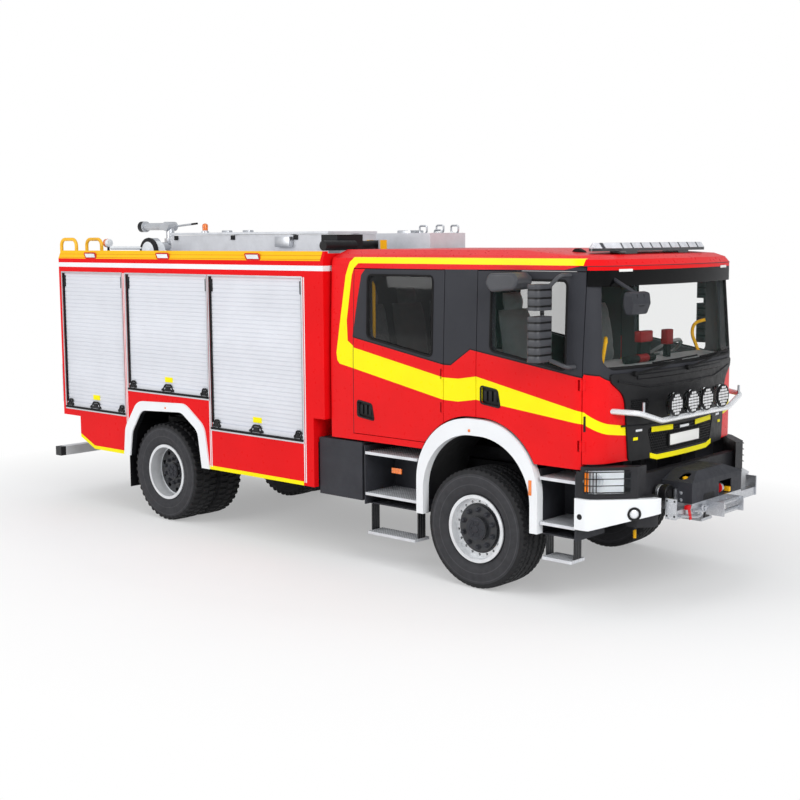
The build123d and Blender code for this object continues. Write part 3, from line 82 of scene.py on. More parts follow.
class Graph:
    """One material: a principled shader with short ways to wire its colour, roughness and bump."""

    def __init__(self, name, **sockets):
        self.material = bpy.data.materials.new(name)
        self.material.use_nodes = True
        self.tree = self.material.node_tree
        self.shader = self.tree.nodes["Principled BSDF"]
        for socket, value in sockets.items():
            self.shader.inputs[socket.replace("_", " ")].default_value = value
        coordinates = self.tree.nodes.new("ShaderNodeTexCoord")
        self.place = coordinates.outputs["Object"]
        self.x, self.y, self.z = self.split(self.place)
        self.facing = coordinates.outputs["Normal"]

    def split(self, vector):
        node = self.tree.nodes.new("ShaderNodeSeparateXYZ")
        self.put(node.inputs[0], vector)
        return node.outputs[0], node.outputs[1], node.outputs[2]

    def put(self, socket, value):
        if isinstance(value, bpy.types.NodeSocket):
            self.tree.links.new(value, socket)
        else:
            socket.default_value = value

    def set(self, name, value):
        self.put(self.shader.inputs[name], value)
        return self

    def math(self, operation, first, second=0.0):
        node = self.tree.nodes.new("ShaderNodeMath")
        node.operation = operation
        self.put(node.inputs[0], first)
        self.put(node.inputs[1], second)
        return node.outputs[0]

    def ramp(self, value, low, high, start=0.0, end=1.0):
        node = self.tree.nodes.new("ShaderNodeMapRange")
        for socket, given in zip(node.inputs, (value, low, high, start, end)):
            self.put(socket, given)
        return node.outputs[0]

    def over(self, value, limit):
        return self.math("GREATER_THAN", value, limit)

    def under(self, value, limit):
        return self.math("LESS_THAN", value, limit)

    def all(self, first, *others):
        for other in others:
            first = self.math("MULTIPLY", first, other)
        return first

    def any(self, first, *others):
        for other in others:
            first = self.math("MAXIMUM", first, other)
        return first

    def between(self, value, low, high):
        return self.all(self.over(value, low), self.under(value, high))

    def line(self, along, points):
        """Height of a line of straight runs through the points, at a place along it."""
        total = points[0][1]
        for (start, low), (end, high) in zip(points, points[1:]):
            total = self.math("ADD", self.ramp(along, start, end, 0.0, high - low), total)
        return total

    def mix(self, share, first, second):
        node = self.tree.nodes.new("ShaderNodeMix")
        node.data_type = "RGBA"
        self.put(node.inputs[0], share)
        self.put(node.inputs[6], first)
        self.put(node.inputs[7], second)
        return node.outputs[2]

    def scaled(self, factors):
        node = self.tree.nodes.new("ShaderNodeMapping")
        self.put(node.inputs["Vector"], self.place)
        node.inputs["Scale"].default_value = factors
        return node.outputs[0]

    def noise(self, scale, detail=3.0, stretch=(1, 1, 1)):
        node = self.tree.nodes.new("ShaderNodeTexNoise")
        self.put(node.inputs["Vector"], self.scaled(stretch))
        node.inputs["Scale"].default_value = scale
        node.inputs["Detail"].default_value = detail
        return node.outputs[0]

    def cells(self, scale, feature="F1", stretch=(1, 1, 1), jitter=1.0):
        node = self.tree.nodes.new("ShaderNodeTexVoronoi")
        node.feature = feature
        self.put(node.inputs["Vector"], self.scaled(stretch))
        node.inputs["Scale"].default_value = scale
        node.inputs["Randomness"].default_value = jitter
        return node.outputs[0]

    def wave(self, value, pitch):
        """Wave from 0 to 1 along a value, one crest per pitch."""
        turned = self.math("SINE", self.math("MULTIPLY", value, 2 * math.pi / pitch))
        return self.ramp(turned, -1, 1)

    def tint(self, colour, scale=6.0, amount=0.08):
        """Colour that wanders a little lighter and darker over the surface."""
        drift = self.ramp(self.noise(scale), 0.3, 0.7, 1 - amount, 1 + amount)
        node = self.tree.nodes.new("ShaderNodeVectorMath")
        node.operation = "SCALE"
        self.put(node.inputs[0], colour if isinstance(colour, bpy.types.NodeSocket) else colour[:3])
        self.put(node.inputs["Scale"], drift)
        return node.outputs[0]

    def colour(self, value):
        return self.set("Base Color", value)

    def rough(self, low, high, scale=40.0, stretch=(1, 1, 1)):
        return self.set("Roughness", self.ramp(self.noise(scale, 4.0, stretch), 0.3, 0.7, low, high))

    def metallic(self, share, off, on):
        """Metal where the share is 0 and where it is 1."""
        return self.set("Metallic", self.ramp(share, 0, 1, off, on))

    def bump(self, height, depth, strength=0.6):
        node = self.tree.nodes.new("ShaderNodeBump")
        node.inputs["Strength"].default_value = strength
        node.inputs["Distance"].default_value = depth
        self.put(node.inputs["Height"], height)
        return self.set("Normal", node.outputs[0])

    def uneven(self):
        """Panels that are very slightly uneven."""
        return self.bump(self.noise(2.2, 1.0), 0.004, 0.12)

    def station(self):
        """Distance forwards of the front axle."""
        return self.math("SUBTRACT", self.x, AXLE)

    def aside(self):
        """Distance from the truck's middle plane."""
        return self.math("ABSOLUTE", self.y)

    def from_axle(self, low, high):
        """Distance from the axle that crosses the middle of a box."""
        along = self.math("SUBTRACT", self.x, (low[0] + high[0]) / 2)
        up = self.math("SUBTRACT", self.z, (low[2] + high[2]) / 2)
        square = self.math("ADD", self.math("MULTIPLY", along, along), self.math("MULTIPLY", up, up))
        return self.math("POWER", square, 0.5)


# Plain finishes

def paint(name, colour, amount=0.05):
    """Glossy coach paint over panels that are very slightly uneven."""
    made = Graph(name, Coat_Weight=0.03, Coat_Roughness=0.06, Specular_IOR_Level=0.1)
    made.colour(made.tint(colour, 2.5, amount)).rough(0.28, 0.40, 25.0)
    return made.uneven()


def plastic(name, colour, low=0.45, high=0.62, grain=900.0, depth=0.0008):
    """Moulded plastic with a fine leather-like grain."""
    made = Graph(name, Specular_IOR_Level=0.22)
    made.colour(made.tint(colour, 5.0, 0.12)).rough(low, high, 18.0)
    return made.bump(made.cells(grain, "SMOOTH_F1"), depth, 0.35)


def metal(name, colour, low, high, stretch=(1, 1, 1), scale=60.0, depth=0.0004, shine=1.0):
    """Bare or brushed metal: the stretch draws the brushing out along one way."""
    made = Graph(name, Metallic=shine)
    made.colour(made.tint(colour, 8.0, 0.07)).rough(low, high, scale, stretch)
    return made.bump(made.noise(scale * 4, 3.0, stretch), depth, 0.25)


white_paint = paint("white_paint", WHITE, 0.02)
yellow_paint = paint("yellow_paint", AMBER_YELLOW)
red_part = paint("red_part", srgb(206, 24, 30))
dark_red = paint("dark_red", srgb(132, 26, 30), 0.1)
yellow_tape = paint("yellow_tape", YELLOW, 0.03)
black_plastic = plastic("black_plastic", srgb(26, 26, 28), 0.34, 0.5)
grey_plastic = plastic("grey_plastic", CHARCOAL)
soft_black = plastic("soft_black", srgb(20, 20, 21), 0.6, 0.8, 500.0)
frame_paint = plastic("frame_paint", srgb(28, 28, 30), 0.5, 0.7, 300.0, 0.0012)
cast_iron = metal("cast_iron", srgb(88, 88, 92), 0.5, 0.7, scale=90.0, depth=0.0015)
aluminium = metal("aluminium", srgb(212, 214, 218), 0.28, 0.42, (1, 1, 14))
chrome = metal("chrome", srgb(235, 236, 238), 0.05, 0.12)
polished_bar = metal("polished_bar", srgb(236, 237, 239), 0.2, 0.32, (14, 1, 14), shine=0.45)
orange_lens = Graph("orange_lens", Coat_Weight=0.8, Transmission_Weight=0.2)
orange_lens.colour(orange_lens.tint(srgb(255, 128, 8), 60.0, 0.15)).rough(0.12, 0.2)
orange_lens.bump(orange_lens.wave(orange_lens.z, 0.008), 0.002)
clear_lens = Graph("clear_lens", Transmission_Weight=1.0, IOR=1.12)
clear_lens.colour(clear_lens.tint(srgb(244, 248, 250), 30.0, 0.03)).rough(0.0, 0.03)
bright_reflector = metal("bright_reflector", srgb(238, 240, 243), 0.3, 0.45, shine=0.4)
milky_lens = plastic("milky_lens", srgb(226, 229, 232), 0.25, 0.35, 120.0, 0.0005)
plate_white = paint("plate_white", srgb(238, 238, 234), 0.02)

glass = Graph("glass", Alpha=0.05, Coat_Weight=0.2, Coat_Roughness=0.02)
glass.colour(glass.tint(srgb(70, 100, 92), 1.2, 0.05)).rough(0.01, 0.04, 3.0)
tinted_glass = Graph("tinted_glass", Alpha=0.3, Coat_Weight=0.2, Coat_Roughness=0.02)
tinted_glass.colour(tinted_glass.tint(srgb(24, 27, 27), 1.2, 0.06)).rough(0.01, 0.04, 3.0)

galvanised = Graph("galvanised", Metallic=1.0)
spangle = galvanised.cells(120.0)
galvanised.colour(galvanised.mix(spangle, srgb(170, 173, 178), srgb(222, 224, 228))).rough(0.32, 0.5, 50.0)
galvanised.bump(spangle, 0.0006, 0.2)


# Livery of the cab: each line gives station and height in metres

STRIPE_LOW = ((-1.70, 1.905), (-1.47, 1.863), (-0.372, 1.651), (-0.20, 1.648), (0.0, 1.68),
              (1.103, 1.561), (1.30, 1.43))
STRIPE_HIGH = ((-1.70, 2.10), (-1.47, 2.059), (-0.372, 1.85), (-0.20, 1.85), (0.0, 1.883),
               (1.103, 1.659), (1.30, 1.51))
BELT = ((-1.60, 2.18), (-1.447, 2.153), (-0.37, 1.968), (-0.286, 1.968), (-0.07, 2.117), (0.788, 1.99),
        (1.088, 1.945), (1.10, 1.975), (1.20, 1.96), (1.25, 1.905), (1.28, 1.80))
RISER_REAR = ((1.88, -1.64), (1.93, -1.685), (2.0, -1.696), (2.31, -1.651), (2.736, -1.585),
              (2.86, -1.535), (2.905, -1.48))
RISER_FRONT = ((2.07, -1.47), (2.12, -1.55), (2.314, -1.565), (2.737, -1.506), (2.80, -1.48), (2.85, -1.42))
ROOF_LINE = (2.848, 2.904)
GREY_REAR = ((2.10, -1.489), (2.15, -1.489), (2.50, -1.432), (2.74, -1.385), (2.80, -1.33))
GREY_TOP = ((-1.4, 2.795), (0.9, 2.812), (1.05, 2.845))
SEAM = 0.006


def cab_colour(graph):
    """Red cab with a yellow stripe that turns up into the roof line, and charcoal upper panels."""
    station = graph.station()
    height = graph.z
    stripe = graph.all(
        graph.over(height, graph.line(station, STRIPE_LOW)),
        graph.under(height, graph.line(station, STRIPE_HIGH)),
        graph.over(station, graph.line(height, RISER_REAR)),
    )
    riser = graph.all(
        graph.over(station, graph.line(height, RISER_REAR)),
        graph.under(station, graph.line(height, RISER_FRONT)),
        graph.between(height, 2.0, ROOF_LINE[1]),
    )
    side = graph.aside()
    roof_line = graph.all(
        graph.between(height, *ROOF_LINE),
        graph.between(station, -1.50, 1.07),
        graph.over(side, 1.0),
    )
    yellow = graph.any(stripe, riser, roof_line)
    belt = graph.line(station, BELT)
    grey = graph.all(
        graph.over(height, belt),
        graph.under(height, graph.line(station, GREY_TOP)),
        graph.over(station, graph.line(height, GREY_REAR)),
    )
    past_belt = graph.math("ABSOLUTE", graph.math("SUBTRACT", height, belt))
    seam = graph.all(graph.under(past_belt, SEAM), graph.over(station, -1.48))
    livery = graph.mix(yellow, RED, YELLOW)
    livery = graph.mix(grey, livery, CHARCOAL)
    livery = graph.mix(seam, livery, BLACK)
    along, across, _ = graph.split(graph.facing)
    outward = graph.math(
        "ADD",
        graph.math("MULTIPLY", along, graph.math("ADD", station, 0.2)),
        graph.math("MULTIPLY", across, graph.y),
    )
    return graph.mix(graph.under(outward, -0.25), livery, srgb(84, 84, 86)), grey


def cab_material(name):
    """Livery paint, with the charcoal panels matt."""
    made = Graph(name, Coat_Roughness=0.05, Specular_IOR_Level=0.15)
    colour, grey = cab_colour(made)
    made.colour(made.tint(colour, 2.5, 0.04))
    haze = made.ramp(made.noise(25.0), 0.3, 0.7, 0.26, 0.36)
    made.set("Roughness", made.math("ADD", haze, made.math("MULTIPLY", grey, 0.2)))
    made.set("Coat Weight", made.math("SUBTRACT", 0.05, made.math("MULTIPLY", grey, 0.04)))
    return made.uneven()


SKIRT = ((-5.87, 0.83), (-5.60, 0.71), (-1.90, 0.71))
WHITE_LINE = (2.77, 2.82)
RAIL_LEAN_Z = 2.866
SKIRT_END = -2.111
RAIL_END = -1.849
RAIL_GROOVES = ((2.876, 2.882), (2.914, 2.919))
REAR_ARCH = (-5.05, -3.53)
REAR_ARCH_TOP = 1.30
VISOR_RED_Z = 2.808


def body_material():
    """Red superstructure with a yellow lower edge, a white roof line and an amber leaning rail whose two
    grooves carry painted shade in a darker amber.
    """
    made = Graph("body_paint", Coat_Weight=0.03, Coat_Roughness=0.06, Specular_IOR_Level=0.1)
    station = made.station()
    side = made.aside()
    skirt = made.all(made.under(made.z, made.line(station, SKIRT)), made.under(station, SKIRT_END))
    line = made.between(made.z, *WHITE_LINE)
    rail = made.all(made.over(made.z, RAIL_LEAN_Z), made.under(station, RAIL_END))
    # The darker amber in the rail's grooves is painted shade.
    groove = made.any(*(made.between(made.z, *heights) for heights in RAIL_GROOVES))
    livery = made.mix(skirt, RED, YELLOW)
    livery = made.mix(line, livery, WHITE)
    livery = made.mix(rail, livery, made.mix(groove, AMBER_YELLOW, srgb(206, 138, 18)))
    along, across, _ = made.split(made.facing)
    inner = made.all(made.under(side, BODY_HALF - 0.062), made.under(along, 0.5))
    arch = made.all(
        made.under(made.math("ABSOLUTE", across), 0.5),
        made.between(station, *REAR_ARCH),
        made.under(made.z, REAR_ARCH_TOP),
    )
    plate = made.mix(made.cells(28.0, "F1", (1, 1, 1), 0.0), srgb(176, 179, 184), srgb(206, 208, 212))
    livery = made.mix(inner, livery, plate)
    livery = made.mix(arch, livery, BLACK)
    made.colour(made.tint(livery, 2.0, 0.04)).rough(0.26, 0.38, 25.0)
    return made.uneven()


def wall_material():
    """Red cross walls with red and white slanted bars at the rear edges."""
    made = Graph("wall_paint", Coat_Weight=0.05, Coat_Roughness=0.1, Specular_IOR_Level=0.15)
    side = made.aside()
    slant = made.math("ADD", made.z, side)
    bars = made.over(made.wave(slant, 0.20), 0.5)
    rear = made.under(made.x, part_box("body_sides")[0][0] + 0.01)
    edge = made.all(rear, made.over(side, 1.095))
    made.colour(made.tint(made.mix(made.all(bars, edge), RED, WHITE), 2.0, 0.05)).rough(0.3, 0.42, 25.0)
    return made.uneven()


def visor_material():
    """Sun visor with a red upper band and a glossy black lower one."""
    made = Graph("visor_paint", Coat_Weight=0.06, Coat_Roughness=0.05, Specular_IOR_Level=0.1)
    bands = made.mix(made.over(made.z, VISOR_RED_Z), srgb(9, 9, 10), RED)
    made.colour(made.tint(bands, 3.0, 0.05)).rough(0.12, 0.22, 20.0)
    return made.bump(made.noise(120.0, 2.0), 0.0003, 0.1)


def shutter_material():
    """Anodised slats, brushed along their length, each a shade different from the next."""
    made = Graph("shutter_metal", Metallic=0.1, Specular_IOR_Level=0.3)
    row = made.math("FLOOR", made.math("DIVIDE", made.z, 0.044))
    shade = made.ramp(made.math("SINE", made.math("MULTIPLY", row, 12.9898)), -1, 1, 0.0, 1.0)
    base = made.mix(shade, srgb(217, 219, 225), srgb(221, 223, 229))
    made.colour(made.tint(base, 3.0, 0.03)).rough(0.5, 0.62, 30.0, (1, 1, 20))
    return made.bump(made.noise(90.0, 2.0, (0.2, 0.2, 14)), 0.0004, 0.2)


def wheel_material(name, tyre, hub_and_disc_shade_radius):
    """Silver rim, charcoal inside a radius about the wheel's axis: the hub cover's own colour, with painted
    shade over the deep-set disc around it.
    """
    made = Graph(name)
    # Charcoal inside the radius: the hub cover's own colour, and painted shade on the deep-set disc.
    hub_and_disc_shade = made.under(made.from_axle(*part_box(tyre)), hub_and_disc_shade_radius)
    base = made.mix(hub_and_disc_shade, srgb(222, 224, 226), srgb(50, 51, 54))
    made.colour(made.tint(base, 12.0, 0.08)).rough(0.28, 0.42, 60.0)
    made.metallic(hub_and_disc_shade, 0.3, 0.1)
    return made.bump(made.noise(300.0, 3.0), 0.0005, 0.2)


def tyre_material(name, tyre):
    """Rubber with a dark tread and paler sidewalls that carry two moulded rings."""
    low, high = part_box(tyre)
    outer = (high[2] - low[2]) / 2
    made = Graph(name, Specular_IOR_Level=0.3)
    radius = made.from_axle(low, high)
    tread = made.over(radius, outer - 0.045)
    ring = made.any(made.between(radius, 0.392, 0.399), made.between(radius, outer - 0.070, outer - 0.062))
    shade = made.mix(tread, srgb(52, 52, 55), srgb(30, 30, 32))
    shade = made.mix(ring, shade, srgb(66, 66, 69))
    made.colour(made.tint(shade, 9.0, 0.12)).rough(0.58, 0.78, 24.0)
    return made.bump(made.noise(420.0, 4.0), 0.0012, 0.3)


def step_material():
    """Tread plate, bright partly as its own colour and partly as painted light that lifts the shaded treads,
    with punched studs; the hangers of the lowest step are black.
    """
    made = Graph("step_metal", Metallic=0.25, Specular_IOR_Level=0.4)
    station = made.station()
    top = made.ramp(made.over(station, 0.0), 0, 1, 0.327, 0.407)
    hanger = made.all(made.over(made.z, top), made.under(made.z, 0.60))
    studs = made.cells(34.0, "F1", (1, 1, 0), 0.0)
    hole = made.under(studs, 0.20)
    _, _, up = made.split(made.facing)
    punched = made.all(hole, made.over(up, 0.5))
    # The pale tread grey is partly the plate's own colour and partly painted light, lifted so the shaded
    # treads read bright.
    base = made.mix(punched, srgb(214, 216, 220), srgb(52, 53, 56))
    made.colour(made.tint(made.mix(hanger, base, srgb(34, 35, 38)), 9.0, 0.1)).rough(0.3, 0.46, 40.0)
    return made.bump(made.ramp(studs, 0.15, 0.5, 1.0, 0.0), 0.006, 0.7)


def light_bar_material():
    """Clear segments over bright reflectors, on a black tray, with a painted highlight along the rib crests.
    """
    made = Graph("light_bar_lens", Coat_Weight=1.0, Coat_Roughness=0.03)
    tray = made.under(made.z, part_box("light_bar")[1][2] - 0.045)
    cells = made.over(made.wave(made.y, 0.155), 0.06)
    ribs = made.wave(made.y, 0.012)
    # The rib crests are painted lighter than the troughs: painted highlight.
    bright = made.mix(ribs, srgb(214, 219, 226), srgb(244, 246, 250))
    lens = made.mix(made.math("MULTIPLY", cells, 0.9), srgb(60, 62, 68), bright)
    made.colour(made.tint(made.mix(tray, lens, BLACK), 20.0, 0.12)).rough(0.1, 0.22, 30.0)
    made.metallic(tray, 0.15, 0.0)
    return made.bump(made.math("MULTIPLY", ribs, made.math("SUBTRACT", 1.0, tray)), 0.002, 0.5)


def ladder_material():
    """Bare tube below the roof edge and yellow hoops above it."""
    made = Graph("ladder_tube", Specular_IOR_Level=0.5)
    hoop = made.over(made.z, 2.86)
    base = made.mix(hoop, srgb(200, 203, 208), AMBER_YELLOW)
    made.colour(made.tint(base, 10.0, 0.07)).rough(0.28, 0.42, 60.0)
    made.metallic(hoop, 1.0, 0.0)
    return made.bump(made.noise(200.0, 3.0), 0.0006, 0.2)


def sheet_material(name, colour, pitch):
    """Aluminium tread sheet with short raised bars lying two ways."""
    made = Graph(name, Metallic=0.3, Specular_IOR_Level=0.4)
    one = made.math("ADD", made.math("ADD", made.x, made.y), made.z)
    two = made.math("SUBTRACT", made.math("SUBTRACT", made.x, made.y), made.z)
    bars = made.all(made.over(made.wave(one, pitch), 0.72), made.over(made.wave(two, pitch * 0.42), 0.35))
    made.colour(made.tint(colour, 8.0, 0.06)).rough(0.32, 0.45, 50.0)
    return made.bump(bars, 0.0015, 0.5)


def underrun_material():
    """Bright bar with black end caps."""
    made = Graph("underrun_metal", Specular_IOR_Level=0.5)
    cap = made.over(made.aside(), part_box("underrun_bar")[1][1] - 0.07)
    base = made.mix(cap, srgb(232, 234, 236), BLACK)
    made.colour(made.tint(base, 8.0, 0.06)).rough(0.3, 0.44, 60.0, (1, 14, 1))
    made.metallic(cap, 0.1, 0.0)
    return made.bump(made.noise(200.0, 3.0, (1, 0.1, 1)), 0.0005, 0.2)


def mirror_material():
    """Ribbed mirror heads with glass behind, and a smooth kerb mirror; the rib grooves carry painted shade,
    and the grey is partly its own colour and partly lightened as a painted highlight.
    """
    made = Graph("mirror_plastic", Specular_IOR_Level=0.3)
    station = made.station()
    head = made.all(made.between(station, 0.73, 0.87), made.over(made.aside(), CAB_HALF + 0.06))
    along, _, _ = made.split(made.facing)
    glass_side = made.all(head, made.under(along, -0.7))
    rib = made.wave(made.z, 0.066)
    # Near-black lines in the rib grooves are painted shade.
    line = made.all(head, made.over(rib, 0.86))
    shade = made.mix(line, srgb(72, 73, 77), srgb(14, 14, 15))
    made.colour(made.tint(made.mix(glass_side, shade, srgb(190, 200, 206)), 6.0, 0.1)).rough(0.34, 0.46, 18.0)
    made.metallic(glass_side, 0.0, 0.9)
    return made.bump(made.math("MULTIPLY", made.ramp(rib, 0.2, 0.9, 1.0, 0.0), head), 0.008, 0.7)


def barrel_material():
    """Grey monitor barrel with a black ring at its muzzle and a black bar at its other end."""
    made = Graph("barrel_paint", Metallic=0.3, Specular_IOR_Level=0.4)
    low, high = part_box("monitor_barrel")
    ends = made.any(made.under(made.x, low[0] + 0.075), made.over(made.x, high[0] - 0.10))
    made.colour(made.tint(made.mix(ends, srgb(196, 199, 203), BLACK), 9.0, 0.06)).rough(0.3, 0.42, 40.0)
    return made.bump(made.noise(220.0, 3.0), 0.0006, 0.2)


def cloth(name, colour):
    """Woven seat cloth, with the raised threads painted lighter as a painted highlight."""
    made = Graph(name, Sheen_Weight=0.35, Sheen_Roughness=0.5, Specular_IOR_Level=0.25)
    warp = made.wave(made.y, 0.0028)
    weft = made.wave(made.math("ADD", made.x, made.z), 0.0028)
    weave = made.math("MULTIPLY", warp, weft)
    # Lighter copy of the cloth on the raised threads: painted highlight.
    weave_highlight = tuple(part * 1.25 for part in colour[:3]) + (1,)
    made.colour(made.tint(made.mix(weave, colour, weave_highlight), 14.0, 0.1)).rough(0.75, 0.92)
    return made.bump(weave, 0.0012, 0.5)


cab_paint = cab_material("cab_paint")
body_paint = body_material()
lid_sheet = metal("lid_sheet", srgb(222, 224, 228), 0.34, 0.46, (14, 1, 1), shine=0.3)
NODE_FINISH = {
    cab_paint: ("cab_front", "cab_rear_wall", "cab_sides", "cab_roof", "door_front_left", "door_front_right",
                "door_rear_left", "door_rear_right"),
    body_paint: ("body_sides", "body_roof"),
    wall_material(): ("body_walls",),
    shutter_material(): ("shutters",),
    step_material(): ("step_treads",),
    light_bar_material(): ("light_bar",),
    ladder_material(): ("rear_ladder",),
    underrun_material(): ("underrun_bar",),
    # The charcoal radii reach past the hub covers onto the discs as painted shade.
    wheel_material("front_wheel_metal", "tyre_front_left", 0.224): ("rim_front_left", "rim_front_right"),
    wheel_material("rear_wheel_metal", "tyres_rear_left", 0.262): ("rim_rear_left", "rim_rear_right"),
    sheet_material("box_sheet", srgb(220, 221, 225), 0.05): ("roof_boxes",),
    lid_sheet: ("roof_box_lid",),
    white_paint: ("arch_trims", "bumper_corners"),
    frame_paint: ("chassis_frame", "cab_floor", "body_floor"),
    cast_iron: ("front_axle", "rear_axle", "powertrain", "knuckle_left", "knuckle_right"),
    black_plastic: ("arch_liners", "front_panel", "light_mast"),
    plastic("apron_grey", srgb(42, 42, 45), 0.34, 0.5): ("front_apron",),
    mirror_material(): ("mirrors_left", "mirrors_right"),
    barrel_material(): ("monitor_barrel",),
    # Dash grey lightened beyond its own colour as painted light, standing in for the windscreen's reflection
    # over the shaded dash.
    plastic("dash_grey_painted_reflection", srgb(150, 153, 153)): ("dashboard",),
    grey_plastic: ("side_boxes", "winch_cover", "front_mirror"),
    visor_material(): ("sun_visor",),
    polished_bar: ("lamp_bar",),
    galvanised: ("winch_frame",),
    aluminium: ("monitor_base", "monitor_swivel"),
    clear_lens: ("lamps",),
    glass: ("windscreen", "glass_front_left", "glass_front_right"),
    tinted_glass: ("glass_rear_left", "glass_rear_right"),
}
for finish, names in NODE_FINISH.items():
    for name in names:
        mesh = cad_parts[name].data
        mesh.materials.clear()
        mesh.materials.append(finish.material)


# Mesh building

def piece(name, bm, finish, body="chassis", angle=35):
    """Object from a mesh under construction, riding on a body."""
    mesh = bpy.data.meshes.new(name)
    bmesh.ops.recalc_face_normals(bm, faces=bm.faces)
    bm.to_mesh(mesh)
    bm.free()
    mesh.shade_smooth()
    mesh.set_sharp_from_angle(angle=math.radians(angle))
    mesh.materials.append(finish.material)
    made = bpy.data.objects.new(name, mesh)
    bpy.context.scene.collection.objects.link(made)
    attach(made, body)
    return made


def at(station, y, z):
    """Place in the row frame from a station measured from the front axle."""
    return Vector((station + AXLE, y, z))


def meshes(count):
    """Empty meshes to build pieces in."""
    return [bmesh.new() for _ in range(count)]


def circle(segments):
    """Cosine and sine of evenly spaced turns."""
    turns = [2 * math.pi * step / segments for step in range(segments)]
    return [(math.cos(turn), math.sin(turn)) for turn in turns]


def rect(left, right, bottom, top):
    """Corners of an upright outline."""
    return ((left, bottom), (right, bottom), (right, top), (left, top))


def wrap(bm, rings, closed=False):
    """Faces between rings of vertices; the first and last ring are capped unless they meet."""
    pairs = list(zip(rings, rings[1:]))
    if closed:
        pairs.append((rings[-1], rings[0]))
    count = len(rings[0])
    for low, high in pairs:
        for step in range(count):
            after = (step + 1) % count
            bm.faces.new((low[step], low[after], high[after], high[step]))
    if not closed:
        bm.faces.new(list(reversed(rings[0])))
        bm.faces.new(rings[-1])


def block(bm, low, high, bevel=0.004):
    """Box between two corners with rounded edges."""
    low, high = Vector(low), Vector(high)
    place = Matrix.Translation((low + high) / 2)
    made = bmesh.ops.create_cube(bm, size=1.0, matrix=place @ Matrix.Diagonal((*(high - low), 1.0)))
    edges = {edge for vert in made["verts"] for edge in vert.link_edges}
    bmesh.ops.bevel(bm, geom=list(edges), offset=bevel, segments=2, affect="EDGES", profile=0.6)


def lump(bm, middle, half, bevel):
    """Box with rounded edges about its middle."""
    half = Vector(half)
    block(bm, middle - half, middle + half, bevel)


def lathe(bm, start, axis, profile, segments=24):
    """Turned form about an axis: distance along it and radius of each ring."""
    turn = axis.normalized().to_track_quat("Z", "Y").to_matrix()
    rings = []
    for along, radius in profile:
        arms = [Vector((radius * x, radius * y, along)) for x, y in circle(segments)]
        rings.append([bm.verts.new(start + turn @ arm) for arm in arms])
    wrap(bm, rings)


def rod(bm, start, end, radius, edge=0.2, segments=20):
    """Round bar with eased ends."""
    length = (end - start).length
    ease = min(radius * edge, length * 0.3)
    profile = ((0, radius - ease), (ease, radius), (length - ease, radius), (length, radius - ease))
    lathe(bm, start, end - start, profile, segments)


def rounded(points, radius, steps=5, closed=False):
    """Points of a line of straight runs with its corners rounded."""
    points = [Vector(point) for point in points]
    count = len(points)
    made = []
    for index, corner in enumerate(points):
        if not closed and index in (0, count - 1):
            made.append(corner)
            continue
        before = (points[index - 1] - corner)
        after = (points[(index + 1) % count] - corner)
        reach = min(radius, before.length * 0.49, after.length * 0.49)
        first = corner + before.normalized() * reach
        last = corner + after.normalized() * reach
        for step in range(steps + 1):
            share = step / steps
            made.append((1 - share) ** 2 * first + 2 * share * (1 - share) * corner + share ** 2 * last)
    return made


def tube(bm, points, radius, segments=10, closed=False):
    """Round bar swept along points."""
    count = len(points)
    rings = []
    normal = None
    for index, point in enumerate(points):
        if closed:
            along = points[(index + 1) % count] - points[index - 1]
        else:
            along = points[min(index + 1, count - 1)] - points[max(index - 1, 0)]
        along.normalize()
        if normal is None:
            normal = along.cross(UP)
            if normal.length < 0.1:
                normal = along.cross(ACROSS)
        normal = (normal - along * normal.dot(along)).normalized()
        side = along.cross(normal)
        rings.append([bm.verts.new(point + radius * (x * normal + y * side)) for x, y in circle(segments)])
    wrap(bm, rings, closed)


def plate(bm, points, lift, place, bevel=0.0015):
    """Flat form of an outline in two measures, raised by the lift, with an eased upper edge."""
    middle = sum((Vector(point) for point in points), Vector((0, 0))) / len(points)
    levels = ((0.0, 0.0), (lift - bevel, 0.0), (lift, bevel))
    rings = []
    for height, inset in levels:
        ring = []
        for point in points:
            arm = Vector(point) - middle
            drawn = middle + arm * (1 - inset / max(arm.length, 1e-6))
            ring.append(bm.verts.new(place(drawn[0], drawn[1], height)))
        rings.append(ring)
    wrap(bm, rings)


def strip(bm, path, width, lift, out=FORWARD):
    """Upright band along a path of places, whose face stands off along out."""
    rows = []
    for point in path:
        rows.append([
            bm.verts.new(point - UP * width / 2),
            bm.verts.new(point - UP * (width / 2 - lift) + out * lift),
            bm.verts.new(point + UP * (width / 2 - lift) + out * lift),
            bm.verts.new(point + UP * width / 2),
        ])
    wrap(bm, rows)


def cab_front_x(y, z):
    """Station of the cab's front face."""
    lean = max(z - BELT_Z, 0) / CAB_RISE
    half = CAB_HALF - TUMBLEHOME * lean
    bow = (half ** 2 + CAB_BOW ** 2) / (2 * CAB_BOW)
    return CAB_FRONT - RAKE * lean - bow + math.sqrt(bow ** 2 - y ** 2)


def cab_side_y(z):
    """Half width of the cab at a height."""
    return CAB_HALF - TUMBLEHOME * max(z - BELT_Z, 0) / CAB_RISE


# Tyres: a turned carcass whose tread is cut into blocks

